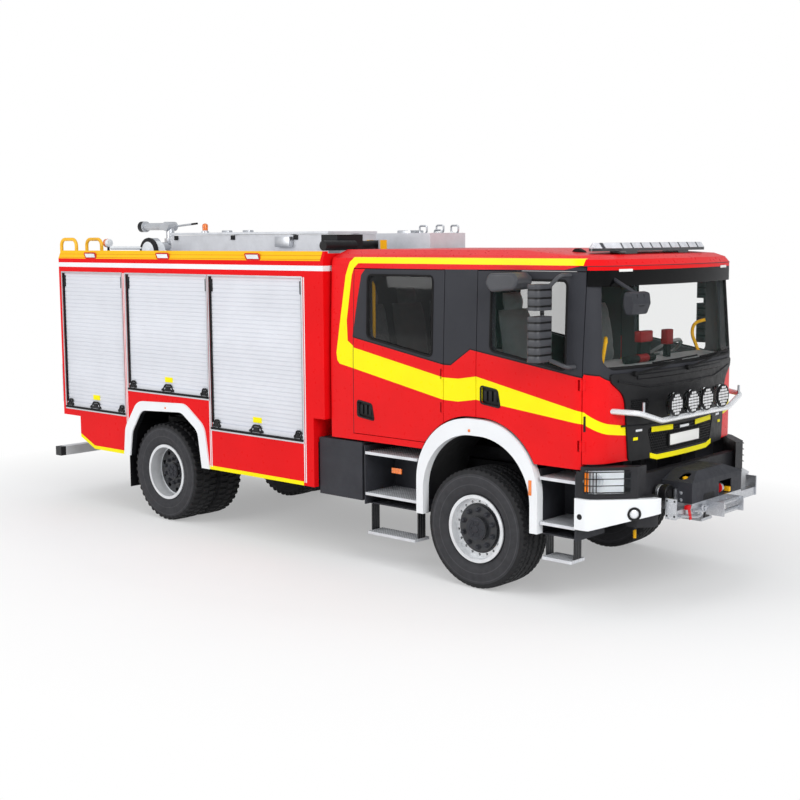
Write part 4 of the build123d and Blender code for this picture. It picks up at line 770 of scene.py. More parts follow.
def tyre(bm, centre, radius, width, seat, pitches, lugs):
    """Tyre about Y. Lugs gives deep blocks to the shoulders; without them the ribs run round."""
    half = width / 2
    steps = 6
    count = pitches * steps
    bead = half * 0.74
    tread = half * 0.86
    side = [
        (seat, bead), (seat + 0.018, bead + 0.004), (seat + 0.030, bead + 0.014), (seat + 0.062, half * 0.93),
        (seat + 0.095, half * 0.985), ((seat + radius) / 2 + 0.01, half * 0.998),
        (radius - 0.088, half * 0.985),
        (radius - 0.080, half * 0.978), (radius - 0.062, half * 0.972), (radius - 0.036, half * 0.945),
        (radius - 0.012, half * 0.90),
    ]
    across = [share / 16 for share in range(16, -17, -1)]
    groove = 0.016
    rows = []
    for index in range(count):
        turn = 2 * math.pi * index / count
        phase = (index % steps) / steps
        swing = abs(phase - 0.5) * 0.14
        radii = []
        for share in across:
            flat = radius - 0.004 * share ** 4
            place = share + swing * (1 if share > 0 else -1)
            near = min(abs(abs(place) - 0.30), abs(abs(place) - 0.66)) if not lugs else abs(abs(share) - 0.34)
            depth = 0.0
            if near < 0.045:
                depth = groove
            if lugs and abs(share) > 0.36 and phase < 0.34:
                depth = groove
            if lugs and abs(share) < 0.32 and 0.5 <= phase < 0.67:
                depth = groove * 0.7
            if not lugs and abs(share) > 0.80 and phase < 0.17:
                depth = groove * 0.6
            radii.append((flat - depth, share * tread))
        notch = groove if (lugs and phase < 0.34) else 0.0
        low = [(r - (notch if r > radius - 0.05 else 0), y) for r, y in side]
        ring = low + radii + [(r, -y) for r, y in reversed(low)]
        rows.append([
            bm.verts.new(centre + Vector((r * math.sin(turn), y, r * math.cos(turn)))) for r, y in ring
        ])
    wrap(bm, rows, True)


SEAT_R = 0.2865
TWIN_WIDTH = 0.312
TWIN_SHIFT = 0.176
LUG_PITCHES = 44
RIB_PITCHES = 60
NUTS = 10
NUT = ((-0.004, 0.026), (0.004, 0.026), (0.005, 0.019), (0.030, 0.017), (0.038, 0.012), (0.041, 0.005))
HUB_CAP = (
    (0, 0.104), (0.008, 0.100), (0.008, 0.070), (0.004, 0.066), (0.004, 0.034), (0.012, 0.030),
    (0.014, 0.004),
)
# Twin or single: nut face and cap outwards of the middle, radius of the nuts, scale of the cap
HUBS = {True: (0.200, 0.228, 0.134, 0.8), False: (0.132, 0.168, 0.168, 1.0)}
WHEELS = (
    ("tyre_front_left", "front_left_wheel", False),
    ("tyre_front_right", "front_right_wheel", False),
    ("tyres_rear_left", "rear_left_wheels", True),
    ("tyres_rear_right", "rear_right_wheels", True),
)
front_rubber = tyre_material("front_rubber", "tyre_front_left")
rear_rubber = tyre_material("rear_rubber", "tyres_rear_left")
for node, body, twin in WHEELS:
    low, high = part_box(node)
    middle = (Vector(low) + Vector(high)) / 2
    radius = (high[2] - low[2]) / 2
    bm = bmesh.new()
    if twin:
        for shift in (-TWIN_SHIFT, TWIN_SHIFT):
            tyre(bm, middle + ACROSS * shift, radius, TWIN_WIDTH, SEAT_R, LUG_PITCHES, True)
    else:
        tyre(bm, middle, radius, high[1] - low[1], SEAT_R, RIB_PITCHES, False)
    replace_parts(piece(node + "_tread", bm, rear_rubber if twin else front_rubber, body, 30), node)
    bm = bmesh.new()
    out = ACROSS * (LEFT if high[1] > 0 else RIGHT)
    face, cap, nut_ring, size = HUBS[twin]
    for nut in range(NUTS):
        turn = 2 * math.pi * (nut + 0.5) / NUTS
        spot = middle + out * face + nut_ring * Vector((math.cos(turn), 0, math.sin(turn)))
        lathe(bm, spot, out, NUT, 12)
    spot = middle + out * (cap - 0.002)
    lathe(bm, spot, out, [(along, ring * size) for along, ring in HUB_CAP], 32)
    for x, z in circle(6):
        arm = Vector((x, 0, z)) * size
        rod(bm, spot + arm * 0.045 + out * 0.006, spot + arm * 0.086 + out * 0.008, 0.006, 0.5, 8)
    piece(node + "_nuts", bm, grey_plastic, body)

# Superstructure: shutter frames, seals, latches and labels. Each shutter has its ends and its foot
SHUTTERS = ((-6.135, -4.990, 1.118), (-4.910, -3.530, 1.415), (-3.490, -2.110, 1.102))
SHUTTER_TOP = 2.70
SILL = 0.07
FRAME = 0.016
PANEL_LINES = (-4.95, -3.51, -2.085)
LATCH_GRIP = ((-0.36, 0.012, -0.006), (-0.24, 0.020, -0.030), (0.24, 0.020, -0.030), (0.36, 0.012, -0.006))


def side_place(side, skin):
    """Places measured by station, height and lift off one side of the truck."""
    return lambda station, z, lift: at(station, side * (skin + lift), z)


def latch(bm, base, width, side):
    """Bar latch with a bow, two hooks and a pull."""
    def by(x, y, z):
        return base + Vector((x * width, y, z))

    block(bm, by(-0.5, -0.012, -0.010), by(0.5, 0.010, 0.010), 0.004)
    block(bm, by(-0.2, -0.012, 0.0), by(0.2, 0.012, 0.040), 0.008)
    for end in (-1, 1):
        rod(bm, by(end * 0.42, 0, 0.0), by(end * 0.22, 0, 0.058), 0.009, 0.4, 10)
        rod(bm, by(end * 0.40, -0.014, 0.004), by(end * 0.40, 0.014, 0.004), 0.015, 0.3, 14)
    rod(bm, by(-0.22, 0, 0.058), by(0.22, 0, 0.058), 0.010, 0.5, 10)
    tube(bm, rounded([by(x, side * y, z) for x, y, z in LATCH_GRIP], 0.02), 0.005, 8)


frames, seals, latches, labels, lines = meshes(5)
for side in SIDES:
    skin = side_place(side, BODY_HALF)
    curtain = side_place(side, BODY_HALF - 0.022)
    for low, high, foot in SHUTTERS:
        middle = (low + high) / 2
        for left, right in ((low - FRAME, low), (high, high + FRAME)):
            plate(frames, rect(left, right, foot - FRAME, SHUTTER_TOP + FRAME), 0.006, skin)
        for bottom in (SHUTTER_TOP, foot - FRAME):
            plate(frames, rect(low, high, bottom, bottom + FRAME), 0.006, skin)
        for left, right in ((low, low + 0.014), (high - 0.012, high)):
            plate(seals, rect(left, right, foot + SILL, SHUTTER_TOP), 0.020, curtain)
        plate(seals, rect(low, high, foot + 0.001, foot + 0.022), 0.040, curtain)
        for station, width in ((low + 0.075, 0.12), (middle, 0.21), (high - 0.075, 0.12)):
            latch(latches, at(station, side * (BODY_HALF - 0.008), foot + 0.040), width, side)
        label = rect(middle - 0.065, middle + 0.065, foot + 0.125, foot + 0.180)
        plate(labels, label, 0.003, curtain, 0.0005)
        for station in (low + 0.02, high - 0.02):
            stop = at(station, side * (BODY_HALF - 0.02), SHUTTER_TOP - 0.095)
            lump(latches, stop, (0.016, 0.012, 0.065), 0.006)
    for station in PANEL_LINES:
        for near in (station - 0.011, station + 0.011):
            plate(lines, rect(near - 0.005, near + 0.005, 0.70, 2.71), 0.0025, skin, 0.0005)
piece("shutter_frames", frames, aluminium)
piece("shutter_seals", seals, soft_black)
piece("shutter_latches", latches, black_plastic)
piece("shutter_labels", labels, yellow_tape)
piece("panel_lines", lines, white_paint)

# Rail lamps along the roof edge
RAIL_LAMPS = (-5.57, -4.25, -2.81)
RAIL_LAMP = ((-0.085, 2.872), (0.115, 2.872), (0.095, 2.930), (-0.115, 2.930))
RAIL_LAMP_Z = 2.901
holders, lenses = meshes(2)
for side in SIDES:
    for station in RAIL_LAMPS:
        ring = [at(station + x, side * (BODY_HALF - 0.003), z) for x, z in RAIL_LAMP]
        tube(holders, rounded(ring, 0.012, 3, True), 0.007, 8, True)
        inner = [(station + x * 0.86, RAIL_LAMP_Z + (z - RAIL_LAMP_Z) * 0.72) for x, z in RAIL_LAMP]
        plate(lenses, inner, 0.004, side_place(side, BODY_HALF))
piece("rail_lamp_frames", holders, red_part)
piece("rail_lamp_lenses", lenses, milky_lens)

# Cab doors: window rubbers and handles
WINDOWS = {
    "front": ((0.150, 2.115), (0.150, 2.725), (0.930, 2.725), (0.930, 1.990)),
    "rear": ((-1.300, 2.160), (-1.300, 2.742), (-0.505, 2.742), (-0.505, 2.025)),
}
HANDLES = {"front": (0.053, 1.630), "rear": (-1.423, 1.390)}
HANDLE = ((0, 0.025), (0, 0.175), (0.180, 0.150), (0.210, 0))
HANDLE_RIBS = (0.045, 0.100, 0.155)
for side, word in ((LEFT, "left"), (RIGHT, "right")):
    for name, window in WINDOWS.items():
        body = f"{name}_{word}_door"
        bm = bmesh.new()
        ring = rounded([Vector((x, 0, z)) for x, z in window], 0.055, 6, True)
        edge = [at(point.x, side * (cab_side_y(point.z) - 0.001), point.z) for point in ring]
        tube(bm, edge, 0.011, 8, True)
        piece(f"window_rubber_{name}_{word}", bm, soft_black, body)
        low, foot = HANDLES[name]
        bm = bmesh.new()
        ring = rounded([Vector((low + x, 0, foot + z)) for x, z in HANDLE], 0.024, 4, True)
        tube(bm, [at(point.x, side * (CAB_HALF + 0.001), point.z) for point in ring], 0.008, 8, True)
        plate(bm, [(point.x, point.z) for point in ring], 0.004, side_place(side, CAB_HALF - 0.0255))
        for rib in HANDLE_RIBS:
            lump(bm, at(low + rib, side * (CAB_HALF - 0.013), foot + 0.090), (0.018, 0.009, 0.045), 0.006)
        piece(f"handle_{name}_{word}", bm, black_plastic, body)

# Front: windscreen rubber, reflective strips, slot lamps and blank plate
SCREEN = ((-1.075, 2.010), (-1.040, 2.735), (1.040, 2.735), (1.075, 2.010))
SCREEN_BOW = 0.96
PANEL = 0.014
PROUD = PANEL + 0.001


def screen_place(y, z):
    """Place on the windscreen's edge, which turns back past the bowed front."""
    held = min(max(y, -SCREEN_BOW), SCREEN_BOW)
    off = 0.004 if abs(y) < SCREEN_BOW else -0.5 * (abs(y) - SCREEN_BOW)
    return at(cab_front_x(held, z) + off, y, z)


def bowed(points, proud):
    """Places along the bowed front through points given across and up."""
    made = []
    for first, last in zip(points, points[1:]):
        for step in range(8):
            y, z = Vector(first).lerp(Vector(last), step / 8)
            made.append(at(cab_front_x(y, z) + proud, y, z))
    y, z = points[-1]
    return made + [at(cab_front_x(y, z) + proud, y, z)]


bm = bmesh.new()
ring = []
for first, last in zip(SCREEN, SCREEN[1:] + SCREEN[:1]):
    ring += [Vector(first).lerp(Vector(last), step / 16) for step in range(16)]
tube(bm, [screen_place(y, z) for y, z in ring], 0.013, 8, True)
piece("screen_rubber", bm, soft_black)

# Bands on the front: their run across and up, width and thickness
FRONT_STRIPS = (
    (((-0.519, 1.248), (-0.42, 1.222), (0.42, 1.222), (0.519, 1.248)), 0.046, 0.004),
    (((-0.503, 1.466), (-0.191, 1.458)), 0.046, 0.004),
    (((0.191, 1.458), (0.503, 1.466)), 0.046, 0.004),
    (((-0.739, 1.408), (-0.683, 1.408)), 0.026, 0.003),
    (((0.683, 1.408), (0.739, 1.408)), 0.026, 0.003),
)
SLOT_LAMPS = (
    (((-0.075, 1.448), (0.075, 1.448)), 0.024, 0.004),
    (((-0.709, 1.475), (-0.629, 1.475)), 0.020, 0.003),
    (((0.629, 1.475), (0.709, 1.475)), 0.020, 0.003),
)
BANDS = (("front_strips", FRONT_STRIPS, yellow_tape), ("slot_lamps", SLOT_LAMPS, bright_reflector))
for name, bands, finish in BANDS:
    bm = bmesh.new()
    for run, width, lift in bands:
        strip(bm, bowed(run, PROUD), width, lift)
    piece(name, bm, finish)
bm = bmesh.new()
block(bm, at(1.345, -0.262, 1.298), at(1.364, 0.262, 1.406), 0.004)
piece("plate_holder", bm, black_plastic)
bm = bmesh.new()
block(bm, at(1.362, -0.245, 1.305), at(1.369, 0.245, 1.398), 0.003)
bead = [at(1.369, y, z) for y, z in rect(-0.236, 0.236, 1.313, 1.390)]
tube(bm, rounded(bead, 0.01, 3, True), 0.0025, 6, True)
piece("blank_plate", bm, plate_white)


# Honeycomb grille in the recess and in two patches of the front panel

CELL_WALL = ((0.50, 0.002), (0.50, 0.011), (0.40, 0.011), (0.40, 0.002))


def honeycomb(bm, low, high, cell, proud, kept):
    """Six-sided rings over a patch of the front, given across and up, where the test keeps them."""
    step_y, step_z = cell * 0.866, cell * 0.75
    for row in range(int((high[1] - low[1]) / step_z) + 1):
        for column in range(int((high[0] - low[0]) / step_y) + 1):
            y = low[0] + step_y * (column + 0.5 * (row % 2))
            z = low[1] + step_z * row
            if not kept(y, z):
                continue
            ring = []
            for corner in range(6):
                turn = math.pi / 6 + math.pi * corner / 3
                for scale, lift in CELL_WALL:
                    dy, dz = y + cell * scale * math.cos(turn), z + cell * scale * math.sin(turn)
                    ring.append(bm.verts.new(at(cab_front_x(dy, dz) + proud + lift, dy, dz)))
            for corner in range(6):
                after = (corner + 1) % 6
                for step in range(3):
                    first, last = corner * 4 + step, after * 4 + step
                    bm.faces.new((ring[first], ring[last], ring[last + 1], ring[first + 1]))


def in_grille(y, z):
    """True inside the recess and outside the plate."""
    return abs(y) < 0.50 + (z - 1.262) * 0.25 and not (abs(y) < 0.28 and 1.29 < z < 1.42)


bm = bmesh.new()
honeycomb(bm, (-0.56, 1.285), (0.56, 1.465), 0.030, 0.0, in_grille)
for left, right in ((0.565, 0.760), (-0.760, -0.565)):
    honeycomb(bm, (left, 1.655), (right, 1.735), 0.024, PANEL - 0.003, lambda y, z: True)
piece("grille_mesh", bm, black_plastic, angle=20)

# Panel creases and wipers
WIPERS = (((-0.74, 1.955), (-0.10, 2.035)), ((0.02, 1.955), (0.66, 2.035)))
bm = bmesh.new()
tube(bm, bowed(((-0.93, 1.905), (-0.55, 1.835), (0.55, 1.835), (0.93, 1.905)), PROUD), 0.010, 8)
tube(bm, bowed(((-0.88, 1.53), (-0.60, 1.515), (0.60, 1.515), (0.88, 1.53)), PANEL), 0.008, 8)
strip(bm, bowed(((-0.70, 1.925), (0.70, 1.925)), PANEL), 0.05, 0.010)
piece("panel_creases", bm, black_plastic)
bm = bmesh.new()
for pivot, tip in WIPERS:
    base = at(cab_front_x(*pivot) + 0.020, *pivot)
    end = at(cab_front_x(*tip) + 0.030, *tip)
    rod(bm, base - FORWARD * 0.015, base + FORWARD * 0.025, 0.022)
    tube(bm, rounded([base + FORWARD * 0.015, base.lerp(end, 0.5) + FORWARD * 0.03, end], 0.1), 0.010, 8)
    low = (tip[0] - 0.40, tip[1] - 0.005)
    high = (tip[0] + 0.30, tip[1] + 0.012)
    tube(bm, bowed((low, high), 0.018), 0.008, 6)
piece("wipers", bm, soft_black)

# Spot lamps: rim, cells and foot of each, and two posts on the bar
SPOTS = (-0.400, -0.122, 0.122, 0.400)
SPOT_RIM = ((0.0, 0.097), (0.002, 0.1005), (0.020, 0.100), (0.022, 0.092), (0.018, 0.091))
SPOT_CELL = ((0.0, 0.0115), (0.003, 0.0115), (0.0035, 0.009), (0.0015, 0.003))
CELL_PITCH = 0.025
rims, cells, feet = meshes(3)
for y in SPOTS:
    face = at(1.512, y, 1.683)
    lathe(rims, face - FORWARD * 0.016, FORWARD, SPOT_RIM, 40)
    for row in range(-3, 4):
        for column in range(-3, 4):
            spot = Vector((0, column * CELL_PITCH, row * CELL_PITCH))
            if spot.length < 0.082:
                lathe(cells, face + spot + FORWARD * 0.001, FORWARD, SPOT_CELL, 8)
    lump(feet, at(1.472, y, 1.580), (0.020, 0.022, 0.020), 0.006)
for y in (-0.815, 0.815):
    rod(feet, at(1.446, y, 1.640), at(1.446, y, 1.735), 0.011)
piece("spot_rims", rims, black_plastic)
piece("spot_cells", cells, chrome)
piece("spot_feet", feet, galvanised)


# Bumper: headlamp reflectors and guards, fog lamps

LAMP_Z = 1.094
LAMP_BOWL = ((0.0, 0.018), (0.004, 0.030), (0.018, 0.050), (0.028, 0.058), (0.028, 0.062), (0.0, 0.062))
FOG_RIM = ((0.0, 0.058), (0.024, 0.058), (0.030, 0.052), (0.030, 0.040), (0.012, 0.036))
FOG_LENS = ((0.0, 0.038), (0.010, 0.036), (0.016, 0.024), (0.018, 0.006))
PLUG = ((0.0, 0.024), (0.012, 0.024), (0.016, 0.018), (0.013, 0.012))


def bumper_path(inset):
    """Rounded outline of the left half of the bumper, from the side to the middle."""
    half, front = 1.218 - inset, 1.590 - inset
    slant, inner = 1.190 - 0.4 * inset, 0.800 - 0.4 * inset
    corners = ((1.05, half, 0), (slant, half, 0), (front, inner, 0), (front, 0, 0))
    return rounded(corners, 0.10, 8)


def along_lamp(inset, steps=14):
    """Places along the headlamp's face, from its outer end to its inner end."""
    path = bumper_path(inset)
    dense = []
    for first, last in zip(path, path[1:]):
        dense += [first.lerp(last, step / 12) for step in range(12)]
    part = [point for point in dense if point.x >= 1.142 and point.y >= 0.952]
    return [part[round(index * (len(part) - 1) / steps)] for index in range(steps + 1)]


def lamp_run(side, inset, z):
    """Places along one headlamp at a height."""
    return [at(point.x, side * point.y, z) for point in along_lamp(inset)]


guards, ambers, bowls, backs, fogs, fog_glass = meshes(6)
for side in SIDES:
    for z in (1.012, 1.068, 1.124, 1.180):
        tube(guards, lamp_run(side, -0.004, z), 0.0045, 6)
    for foot, head in list(zip(lamp_run(side, -0.004, 1.008), lamp_run(side, -0.004, 1.182)))[::3]:
        tube(guards, [foot, head], 0.0045, 6)
    strip(backs, lamp_run(side, 0.058, LAMP_Z), 0.180, 0.002)
    slant = (FORWARD + ACROSS * side).normalized()
    strip(ambers, lamp_run(side, 0.006, LAMP_Z)[:5], 0.168, 0.010, slant)
    fronts = lamp_run(side, 0.034, 1.098)
    rears = lamp_run(side, 0.058, 1.098)
    for index in (5, 9, 12):
        out = (fronts[index] - rears[index]).normalized()
        lathe(bowls, fronts[index] - out * 0.020, out, LAMP_BOWL, 24)
    out = Vector((0.722, side * 0.692, 0)).normalized()
    spot = at(1.452, side * 0.944, 0.828)
    lathe(fogs, spot - out * 0.02, out, FOG_RIM, 28)
    lathe(fog_glass, spot - out * 0.008, out, FOG_LENS, 24)
    lathe(fogs, at(1.102, side * 1.208, 0.801), ACROSS * side, PLUG, 20)
piece("lamp_guards", guards, black_plastic)
piece("lamp_backs", backs, bright_reflector)
piece("lamp_ambers", ambers, plastic("amber_block", srgb(250, 132, 16)))
piece("lamp_bowls", bowls, bright_reflector)
piece("fog_rims", fogs, black_plastic)
piece("fog_lenses", fog_glass, bright_reflector)

# Markers on the trims, the rear steps and the cab's corners
markers, corner_markers = meshes(2)
for side in SIDES:
    lump(markers, at(0.600, side * 1.2165, 0.980), (0.015, 0.006, 0.065), 0.004)
    lump(markers, at(-0.985, side * 1.135, 0.930), (0.060, 0.007, 0.025), 0.004)
    rod(markers, at(-4.25, side * 1.262, 1.262), at(-4.25, side * 1.270, 1.262), 0.012)
    rod(markers, at(-0.06, side * 1.212, 1.405), at(-0.06, side * 1.221, 1.405), 0.014)
    lump(corner_markers, at(1.109, side * 1.170, 1.564), (0.009, 0.006, 0.064), 0.004)
piece("side_markers", markers, orange_lens)
piece("corner_markers", corner_markers, black_plastic)

# Winch: bolts, motor, post, slot fittings, hook and tag
WINCH_HALF = 0.432
END_PLATE = 0.708
BOLT = ((-0.002, 0.013), (0.004, 0.013), (0.006, 0.008), (0.010, 0.006))
HOLE = ((-0.001, 0.009), (0.0015, 0.009), (0.002, 0.007))
MOTOR = (
    (0, 0.050), (0.010, 0.066), (0.080, 0.066), (0.086, 0.076), (0.128, 0.076), (0.134, 0.070),
    (0.126, 0.060),
    (0.126, 0.034), (0.136, 0.030), (0.138, 0.008),
)
MOTOR_BAND = ((0.030, 0.0668), (0.032, 0.069), (0.056, 0.069), (0.058, 0.0668))
LOOP_RED = ((0, 0.030), (0.004, 0.044), (0.014, 0.044), (0.016, 0.036))
LOOP_STEEL = ((0, 0.036), (0.002, 0.040), (0.034, 0.040), (0.036, 0.030))
COVER_PLATE = (
    (-0.235, 0.866), (-0.235, 0.905), (-0.215, 0.920), (-0.070, 0.920), (-0.045, 0.900), (-0.045, 0.866),
)
HOOK = (
    (1.703, -0.640, 0.800), (1.707, -0.500, 0.772), (1.712, -0.360, 0.748), (1.715, -0.310, 0.765),
    (1.712, -0.330, 0.795), (1.705, -0.420, 0.806),
)
TAG = ((-0.550, 0.862), (-0.515, 0.862), (-0.476, 0.745), (-0.512, 0.745))
steel, black_bits, yellow_bits, red_bits = meshes(4)
for side in SIDES:
    for z in (0.886, 0.946):
        lathe(steel, at(1.590, side * WINCH_HALF, z), ACROSS * side, BOLT, 12)
    for x in (1.615, 1.685):
        for z in (0.800, 0.925):
            lathe(black_bits, at(x, side * END_PLATE, z), ACROSS * side, HOLE, 12)
motor = at(1.396, -0.516, 0.945)
lathe(black_bits, motor, FORWARD, MOTOR, 32)
lathe(steel, motor, FORWARD, MOTOR_BAND, 32)
block(steel, at(1.540, -0.474, 0.845), at(1.560, -0.4325, 0.980), 0.003)
plate(black_bits, COVER_PLATE, 0.002, lambda y, z, lift: at(1.690 + lift, y, z))
rod(yellow_bits, at(1.560, -0.315, 0.990), at(1.566, -0.325, 1.062), 0.026)
block(yellow_bits, at(1.640, 0.212, 0.872), at(1.690, 0.244, 0.915), 0.006)
lathe(red_bits, at(1.655, 0.060, 0.925), ACROSS, LOOP_RED, 24)
lathe(steel, at(1.655, 0.076, 0.925), ACROSS, LOOP_STEEL, 24)
tube(steel, rounded([at(*point) for point in HOOK], 0.03), 0.013, 10)
tube(steel, [at(1.712, -0.262 + 0.034 * y, 0.806 + 0.026 * z) for y, z in circle(16)], 0.010, 8, True)
rod(steel, at(1.700, -0.300, 0.806), at(1.700, -0.180, 0.806), 0.012)
plate(red_bits, TAG, 0.006, lambda y, z, lift: at(1.714 + lift, y, z))
block(red_bits, at(1.690, -0.562, 0.836), at(1.722, -0.496, 0.872), 0.008)
block(black_bits, at(1.286, -0.704, 0.630), at(1.306, -0.664, 0.740), 0.004)
rod(yellow_bits, at(1.300, -0.684, 0.560), at(1.300, -0.684, 0.636), 0.014)
piece("winch_steel", steel, galvanised)
piece("winch_black", black_bits, black_plastic)
piece("winch_yellow", yellow_bits, yellow_paint)
piece("winch_red", red_bits, red_part)

# Sun visor strips, roof aerial and the line round the front mirror's cap
VISOR_STRIP = (0.74, 0.78, 0.82, 0.86, 0.90)
AERIAL = ((0.70, 2.940), (0.84, 2.940), (0.82, 2.962), (0.77, 2.984), (0.74, 2.980))
MIRROR_CAP = (
    (1.4725, -0.992, 2.620), (1.4835, -0.982, 2.528), (1.4835, -0.898, 2.528), (1.4725, -0.888, 2.620),
)
bm = bmesh.new()
for side in SIDES:
    strip(bm, [at(cab_front_x(side * y, 2.84) + 0.047, side * y, 2.806) for y in VISOR_STRIP], 0.022, 0.002)
piece("visor_strips", bm, plate_white)
bm = bmesh.new()
plate(bm, AERIAL, 0.05, lambda x, z, lift: at(x, -0.80 + lift, z))
tube(bm, rounded([at(*point) for point in MIRROR_CAP], 0.02), 0.004, 6)
piece("roof_aerial", bm, soft_black)

# Things seen through the glass: grab handles and equipment on the dashboard
GRAB_HANDLES = (
    ((0.93, 1.000, 2.00), (0.85, 1.000, 2.17), (0.87, 1.010, 2.27), (0.96, 1.060, 2.30)),
    ((1.06, -0.86, 1.99), (1.10, -0.86, 2.22), (1.06, -0.80, 2.25), (1.04, -0.76, 2.20)),
    ((-1.321, -1.100, 2.120), (-1.291, -1.100, 2.160), (-1.291, -1.100, 2.640), (-1.321, -1.100, 2.680)),
)
DASH_BOXES = (((0.965, -0.20, 2.165), (1.035, 0.00, 2.262)), ((0.965, 0.245, 2.120), (1.035, 0.350, 2.255)))
bm = bmesh.new()
for run in GRAB_HANDLES:
    tube(bm, rounded([at(*point) for point in run], 0.05), 0.016, 10)
piece("grab_handles", bm, yellow_paint)
red_bits, black_bits = meshes(2)
for low, high in DASH_BOXES:
    block(red_bits, at(*low), at(*high), 0.012)
    foot = at(low[0] + 0.012, low[1] + 0.02, 1.995)
    block(black_bits, foot, at(high[0] - 0.012, high[1] - 0.02, low[2] + 0.03), 0.008)
rod(black_bits, at(1.075, -0.520, 2.036), at(1.075, -0.060, 2.034), 0.034)
rod(red_bits, at(1.075, -0.330, 2.036), at(1.075, -0.170, 2.035), 0.037)
piece("dash_red", red_bits, dark_red)
piece("dash_black", black_bits, soft_black)

# Roof: box latches, side box, lamps, hose drum and hand tools
BOX_LATCHES = (-4.749, -3.780, -2.800)
DRUM_RING = ((0.0, 0.118), (0.004, 0.150), (0.020, 0.154), (0.036, 0.150), (0.040, 0.118))
DRUM = (
    (0.0, 0.030), (0.004, 0.042), (0.010, 0.044), (0.012, 0.096), (0.018, 0.116), (0.170, 0.116),
    (0.180, 0.100),
)
LAMP_SHELL = ((0.0, 0.030), (0.010, 0.048), (0.040, 0.050), (0.044, 0.046))
LAMP_GLASS = ((0.0, 0.045), (0.030, 0.048), (0.044, 0.040), (0.050, 0.012))
TOOLS = ((-2.150, 0.600, 3.215), (-2.070, 0.750, 3.170), (-2.170, 0.900, 3.222), (-1.980, 0.920, 3.218))
TOOL_GRIP = ((0, -0.110), (-0.050, -0.075), (-0.050, -0.010), (0.050, -0.010), (0.050, -0.075))
TRAY_FLOOR = DECK_Z + 0.012
black_bits, bright, white_bits, orange_bits = meshes(4)
for x in BOX_LATCHES:
    block(black_bits, at(x - 0.030, -0.664, 3.068), at(x + 0.030, -0.650, 3.117), 0.005)
    rod(black_bits, at(x - 0.024, -0.666, 3.078), at(x + 0.024, -0.666, 3.078), 0.008, 0.4, 10)
block(bright, at(-3.060, -0.715, 2.992), at(-2.840, -0.6505, 3.100), 0.010)
drum = at(-4.800, -1.020, 2.945)
lathe(black_bits, drum, ACROSS, DRUM_RING, 36)
lathe(white_bits, drum - ACROSS * 0.016, ACROSS, DRUM, 36)
rod(white_bits, at(-5.480, -1.020, 2.985), at(-4.900, -1.000, 2.985), 0.020)
lamp = at(-5.560, -1.000, 3.040)
rod(black_bits, at(-5.560, -1.000, DECK_Z), at(-5.560, -1.000, 3.000), 0.014)
lathe(orange_bits, lamp - FORWARD * 0.05, FORWARD, LAMP_SHELL, 24)
lathe(white_bits, lamp - FORWARD * 0.008, FORWARD, LAMP_GLASS, 24)
for x, y, top in TOOLS:
    rod(bright, at(x, y, TRAY_FLOOR), at(x, y, top - 0.085), 0.017)
    tube(bright, rounded([at(x + dx, y, top + dz) for dx, dz in TOOL_GRIP], 0.02, 4, True), 0.010, 8, True)
block(bright, at(-2.420, 0.480, TRAY_FLOOR), at(-2.230, 0.700, 3.160), 0.012)
piece("roof_black", black_bits, black_plastic)
piece("roof_bright", bright, aluminium)
piece("roof_white", white_bits, milky_lens)
piece("roof_orange", orange_bits, orange_lens)

# Grips and beacon on the roof box's lid
LID_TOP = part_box("roof_box_lid")[1][2]
LID_GRIPS = (-4.231, -3.879)
BEACON_FOOT = ((0.0, 0.044), (0.016, 0.044), (0.020, 0.034), (0.030, 0.030))
BEACON = ((0.0, 0.030), (0.060, 0.034), (0.076, 0.026), (0.084, 0.008))
grips, beacon = meshes(2)
for x in LID_GRIPS:
    lump(grips, at(x, -0.350, LID_TOP + 0.010), (0.060, 0.030, 0.014), 0.008)
spot = at(-4.610, -0.350, LID_TOP - 0.002)
lathe(grips, spot, UP, BEACON_FOOT, 24)
lathe(beacon, spot + UP * 0.024, UP, BEACON, 24)
piece("lid_grips", grips, aluminium, "box_lid")
piece("lid_beacon", beacon, orange_lens, "box_lid")


# Seats: crowned cushions with sewn channels

def cushion(bm, place, width, depth, thick, channels, crown=0.045):
    """Padded form with pulled-in corners; its face is sewn across in channels."""
    columns, rows = 14, 20
    top, under = [], []
    for row in range(rows + 1):
        v = row / rows
        upper, lower = [], []
        for column in range(columns + 1):
            u = column / columns
            edge = min(u, 1 - u) * width
            end = min(v, 1 - v) * depth
            ease = min(1.0, math.sqrt(max(edge, 0) / 0.07)) * min(1.0, math.sqrt(max(end, 0) / 0.07))
            sewn = 0.012 * math.exp(-((v * channels) % 1.0 - 0.5) ** 2 / 0.006) if channels else 0.0
            lift = thick * 0.55 + crown * math.sin(math.pi * u) * math.sin(math.pi * v)
            pull = 1 - 0.03 * (1 - math.sin(math.pi * v)) - 0.02 * (1 - math.sin(math.pi * u))
            x, y = (u - 0.5) * width * pull, (v - 0.5) * depth * pull
            upper.append(bm.verts.new(place @ Vector((x, y, (lift - sewn) * ease))))
            lower.append(bm.verts.new(place @ Vector((x, y, -thick * 0.45 * ease))))
        top.append(upper)
        under.append(lower)
    for row in range(rows):
        for column in range(columns):
            after, beyond = row + 1, column + 1
            bm.faces.new((top[row][column], top[row][beyond], top[after][beyond], top[after][column]))
            bm.faces.new((under[row][column], under[after][column], under[after][beyond], under[row][beyond]))
    bmesh.ops.remove_doubles(bm, verts=bm.verts, dist=0.0004)


def leaning(place, degrees):
    """Matrix that lays a cushion's face at a place, leaning about the truck's width."""
    lean = Matrix.Rotation(math.radians(degrees), 4, "Y")
    return Matrix.Translation(place) @ lean @ Matrix.Rotation(math.radians(90), 4, "Z")


